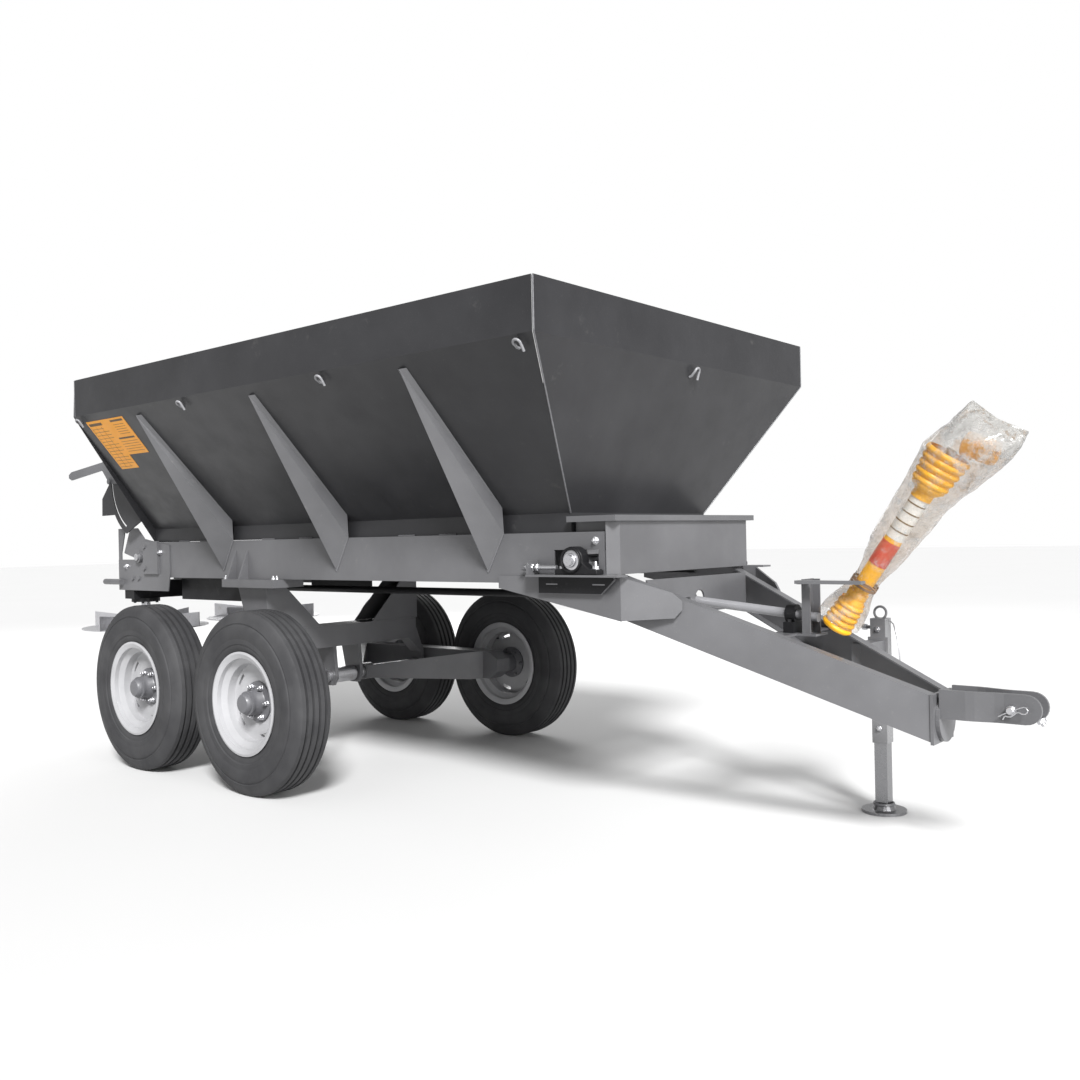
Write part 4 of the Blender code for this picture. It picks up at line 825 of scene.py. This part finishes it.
def bellows(target, first, last, start_radius, end_radius):
    """Corrugated cone between two stations along the shaft, as a thin ring of sheet."""
    outer = []
    inner = []
    count = FOLDS * 6
    for i in range(count + 1):
        t = i / count
        wave = 0.5 - 0.5 * math.cos(2 * math.pi * FOLDS * t)
        radius = start_radius + (end_radius - start_radius) * t + FOLD_DEPTH * math.sqrt(wave)
        station = first + (last - first) * t
        outer.append((radius, station))
        inner.append((radius - GUARD_SHEET, station))
    along_shaft(target, outer + list(reversed(inner)), 56)


def ring_outline(outer, inner, low, high):
    """Plain ring between two reaches."""
    return [(outer, high), (outer, low), (inner, low), (inner, high)]


def pto_guard():
    """Ribbed cones on a plain tube, with two wraps of label and their bars."""
    data = bmesh.new()
    bellows(data, -0.028, 0.085, 0.0495, 0.0400)
    bellows(data, 0.572, 0.702, 0.0560, 0.0735)
    along_shaft(data, LOWER_COLLAR)
    along_shaft(data, UPPER_COLLAR)
    along_shaft(data, GUARD_TUBE)
    for station in (0.120, 0.535):
        along_shaft(data, [(0.0365, station + 0.012), (0.0372, station), (0.0365, station - 0.012),
                           (0.0320, station - 0.012), (0.0320, station + 0.012)])
    guard = piece("ribbed_guard", data, "chassis", MATERIALS["guard_plastic"], 50.0)
    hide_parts("pto_guard")
    for name, first, last, mat in GUARD_WRAPS:
        wrap = bmesh.new()
        along_shaft(wrap, ring_outline(0.0335, 0.0327, first, last))
        piece(name, wrap, "chassis", mat)
    bars = bmesh.new()
    for row in range(4):
        station = 0.390 + row * 0.036
        along_shaft(bars, ring_outline(0.0338, 0.0334, station, station + 0.005))
    piece("guard_label_bars", bars, "chassis", LABEL_DARK)


def yoke_detail():
    """Splined end of the tractor-side yoke, with its locking ring."""
    inner, outer = (spot(*place) for place in YOKE_ENDS)
    data = bmesh.new()
    lathe(data, YOKE_COLLAR, axis_frame(inner, outer - inner), 48)
    yoke = piece("yoke_collar", data, "pto_yoke", MATERIALS["yoke_paint"], 35.0)
    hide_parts("pto_yoke")


# ----------------------------------------------------------------------- film bag
# (reach along the shaft, shift across, half depth, half width); it follows the CAD bag
BAG = ((0.000, -0.008, 0.083, 0.078), (0.040, -0.006, 0.082, 0.076), (0.080, -0.004, 0.073, 0.068),
       (0.125, -0.002, 0.058, 0.055), (0.165, 0.000, 0.0445, 0.0445), (0.205, 0.000, 0.050, 0.049),
       (0.250, 0.000, 0.058, 0.056), (0.330, 0.000, 0.074, 0.068), (0.440, 0.006, 0.085, 0.077),
       (0.550, 0.012, 0.094, 0.085), (0.620, 0.020, 0.109, 0.096), (0.690, 0.028, 0.124, 0.106),
       (0.740, 0.045, 0.123, 0.100), (0.790, 0.062, 0.120, 0.092), (0.830, 0.068, 0.117, 0.072),
       (0.855, 0.070, 0.113, 0.050), (0.872, 0.071, 0.109, 0.024))
BAG_SIDES = 72
BAG_STEP = 0.009
FILM_SHEET = 0.0006
NECK = 0.165                    # where the strap ties it
NECK_REACH = 0.035
PLEATS = 14
TOP_START = 0.80                # where the pinched top begins
TOP_LENGTH = 0.072
STRAP_TAIL = ((0.0, 0.0, 0.0), (0.010, -0.008, 0.004), (0.030, -0.012, 0.000), (0.052, -0.014, -0.010),
              (0.068, -0.014, -0.026))


def bag_stations():
    """The bag's sections, filled in to a station about every 9 mm."""
    stations = []
    for first, last in zip(BAG, BAG[1:]):
        steps = max(2, int((last[0] - first[0]) / BAG_STEP))
        for i in range(steps):
            t = i / steps
            stations.append([a + (b - a) * t for a, b in zip(first, last)])
    stations.append(list(BAG[-1]))
    return stations


def bag_point(angle, along, shift, depth, width):
    """One point of the film: a smooth sleeve with creases, pleats and a ragged, pinched top."""
    gather = math.exp(-((along - NECK) / NECK_REACH) ** 2)
    top = max(0.0, (along - TOP_START) / TOP_LENGTH)
    direction = PTO_ACROSS * math.cos(angle) * depth + SIDEWAYS * math.sin(angle) * width
    here = Vector((math.cos(angle) * 2.2, math.sin(angle) * 2.2, along * 9.0))
    folds = noise.noise(here) + 0.55 * noise.noise(here * 2.7) + 0.30 * noise.noise(here * 6.1)
    ridge = 1.0 - 2.0 * abs(noise.noise(here * 1.4 + Vector((7.0, 3.0, 1.0))))
    swell = (0.0045 * folds + 0.0035 * ridge - 0.0050) * (1.0 - 0.85 * gather)
    pleat = math.cos(PLEATS * angle + 3.0 * along) * gather * 0.0020
    ear = abs(math.cos(angle)) ** 10
    jag = top * (0.016 * noise.noise(Vector((angle * 3.0, 5.0, 2.0))) + 0.014 * ear - 0.006)
    wrinkle = top * 0.010 * noise.noise(Vector((math.cos(angle) * 5.0, 9.0, along * 20.0)))
    centre = PTO_START + PTO_RUN * (along + jag) + PTO_ACROSS * shift
    return centre + direction + direction.normalized() * (swell + pleat) + SIDEWAYS * wrinkle


def film_bag():
    """Thin film round the parked shaft: open at the foot, tied at the neck, pinched at the top."""
    data = bmesh.new()
    rings = []
    for section in bag_stations():
        angles = [2 * math.pi * i / BAG_SIDES for i in range(BAG_SIDES)]
        rings.append([data.verts.new(bag_point(angle, *section)) for angle in angles])
    skin(data, rings, capped=False)
    peak = data.verts.new(PTO_START + PTO_RUN * (BAG[-1][0] + 0.002) + PTO_ACROSS * BAG[-1][1])
    for i in range(BAG_SIDES):
        data.faces.new((rings[-1][i], rings[-1][(i + 1) % BAG_SIDES], peak))
    bag = piece("film_bag", data, "chassis", MATERIALS["film"], 70.0)
    sheet = bag.modifiers.new("film", "SOLIDIFY")
    sheet.thickness = FILM_SHEET
    sheet.offset = -1.0
    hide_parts("pto_bag")


def bag_strap():
    """Two turns round the neck, and a stiff tail."""
    data = bmesh.new()
    for lift in (-0.006, 0.007):
        along_shaft(data, ring_outline(0.0500, 0.0480, NECK + lift - 0.005, NECK + lift + 0.005))
    knot = PTO_START + PTO_RUN * NECK + Vector((0.0, -0.050, 0.0))
    bar(data, [knot + Vector(point) for point in STRAP_TAIL], 0.0030, 8)
    piece("bag_strap", data, "chassis", STRAP)


# ------------------------------------------------------------------- build it all
for where in ENDS:
    for label_name, sign in SIDES:
        wheel(where, label_name, sign)
hooks()
hopper_welds()
rib_welds()
bolts()
front_bearings()
labels()
jack_fittings()
hitch_fittings()
pto_guard()
yoke_detail()
film_bag()
bag_strap()


# ----------------------------------------------------------- floor, light, camera
FLOOR_SIZE = 60.0
FLOOR_TONES = ((0.51, 0.51, 0.51), (0.53, 0.53, 0.53))
SKY_LEVEL = 0.55                # what the sky lights with; the camera sees it at 1.0
SUN_LEVEL = 6.4
SUN_ANGLE = 14.0
SUN_FROM = (5.5, -5.0, 6.9)
LAMPS = (("front", (9.0, -2.5, 2.6), 4.0, 420.0), ("back", (-6.5, 6.0, 5.0), 5.0, 380.0))
LAMP_TARGET = (0.0, 0.0, 0.9)
CAMERA_PLACE = (2.213, -3.5763, 1.1008)         # from the hopper's front edge
CAMERA_YAW = 40.1146
CAMERA_PITCH = 0.1456
CAMERA_ROLL = -1.2231
CAMERA_LENS = 35.03


def floor():
    data = bmesh.new()
    bmesh.ops.create_grid(data, x_segments=1, y_segments=1, size=FLOOR_SIZE)
    mesh = bpy.data.meshes.new("floor")
    data.to_mesh(mesh)
    data.free()
    obj = bpy.data.objects.new("floor", mesh)
    bpy.context.scene.collection.objects.link(obj)
    n = Nodes("pale_floor")
    mesh.materials.append(n.finish(n.mix(n.noise(scale=0.6), *FLOOR_TONES), 0.85))


def sky():
    """White world, dimmer as a light than as the camera's background."""
    world = bpy.data.worlds.new("studio")
    world.use_nodes = True
    tree = world.node_tree
    back = tree.nodes["Background"]
    back.inputs["Color"].default_value = (1.0, 1.0, 1.0, 1.0)
    path = tree.nodes.new("ShaderNodeLightPath")
    level = tree.nodes.new("ShaderNodeMapRange")
    level.inputs["To Min"].default_value = SKY_LEVEL
    level.inputs["To Max"].default_value = 1.0
    tree.links.new(path.outputs["Is Camera Ray"], level.inputs["Value"])
    tree.links.new(level.outputs["Result"], back.inputs["Strength"])
    bpy.context.scene.world = world


def lamp(name, light, position):
    """Put a light in place, turned towards the machine."""
    obj = bpy.data.objects.new(name, light)
    obj.location = position
    obj.rotation_euler = (Vector(LAMP_TARGET) - obj.location).to_track_quat("-Z", "Y").to_euler()
    bpy.context.scene.collection.objects.link(obj)


def lamps():
    sun = bpy.data.lights.new("key", "SUN")
    sun.energy = SUN_LEVEL
    sun.angle = math.radians(SUN_ANGLE)
    lamp("key", sun, SUN_FROM)
    for name, position, size, power in LAMPS:
        area = bpy.data.lights.new(name, "AREA")
        area.size = size
        area.energy = power
        lamp(name, area, position)


def camera():
    lens = bpy.data.cameras.new("camera")
    lens.lens = CAMERA_LENS
    lens.sensor_width = 36.0
    lens.clip_end = 200.0
    yaw, pitch, roll = (math.radians(angle) for angle in (CAMERA_YAW, CAMERA_PITCH, CAMERA_ROLL))
    ahead = Vector((-math.sin(yaw) * math.cos(pitch), math.cos(yaw) * math.cos(pitch), -math.sin(pitch)))
    level = Vector((math.cos(yaw), math.sin(yaw), 0.0))
    above = level.cross(ahead)
    right = level * math.cos(roll) + above * math.sin(roll)
    up = above * math.cos(roll) - level * math.sin(roll)
    turn = Matrix((right, up, -ahead)).transposed().to_4x4()
    view = bpy.data.objects.new("camera", lens)
    view.matrix_world = Matrix.Translation(spot(*CAMERA_PLACE)) @ turn
    bpy.context.scene.collection.objects.link(view)
    bpy.context.scene.camera = view


floor()
sky()
lamps()
camera()
bpy.context.scene.view_settings.view_transform = "Standard"
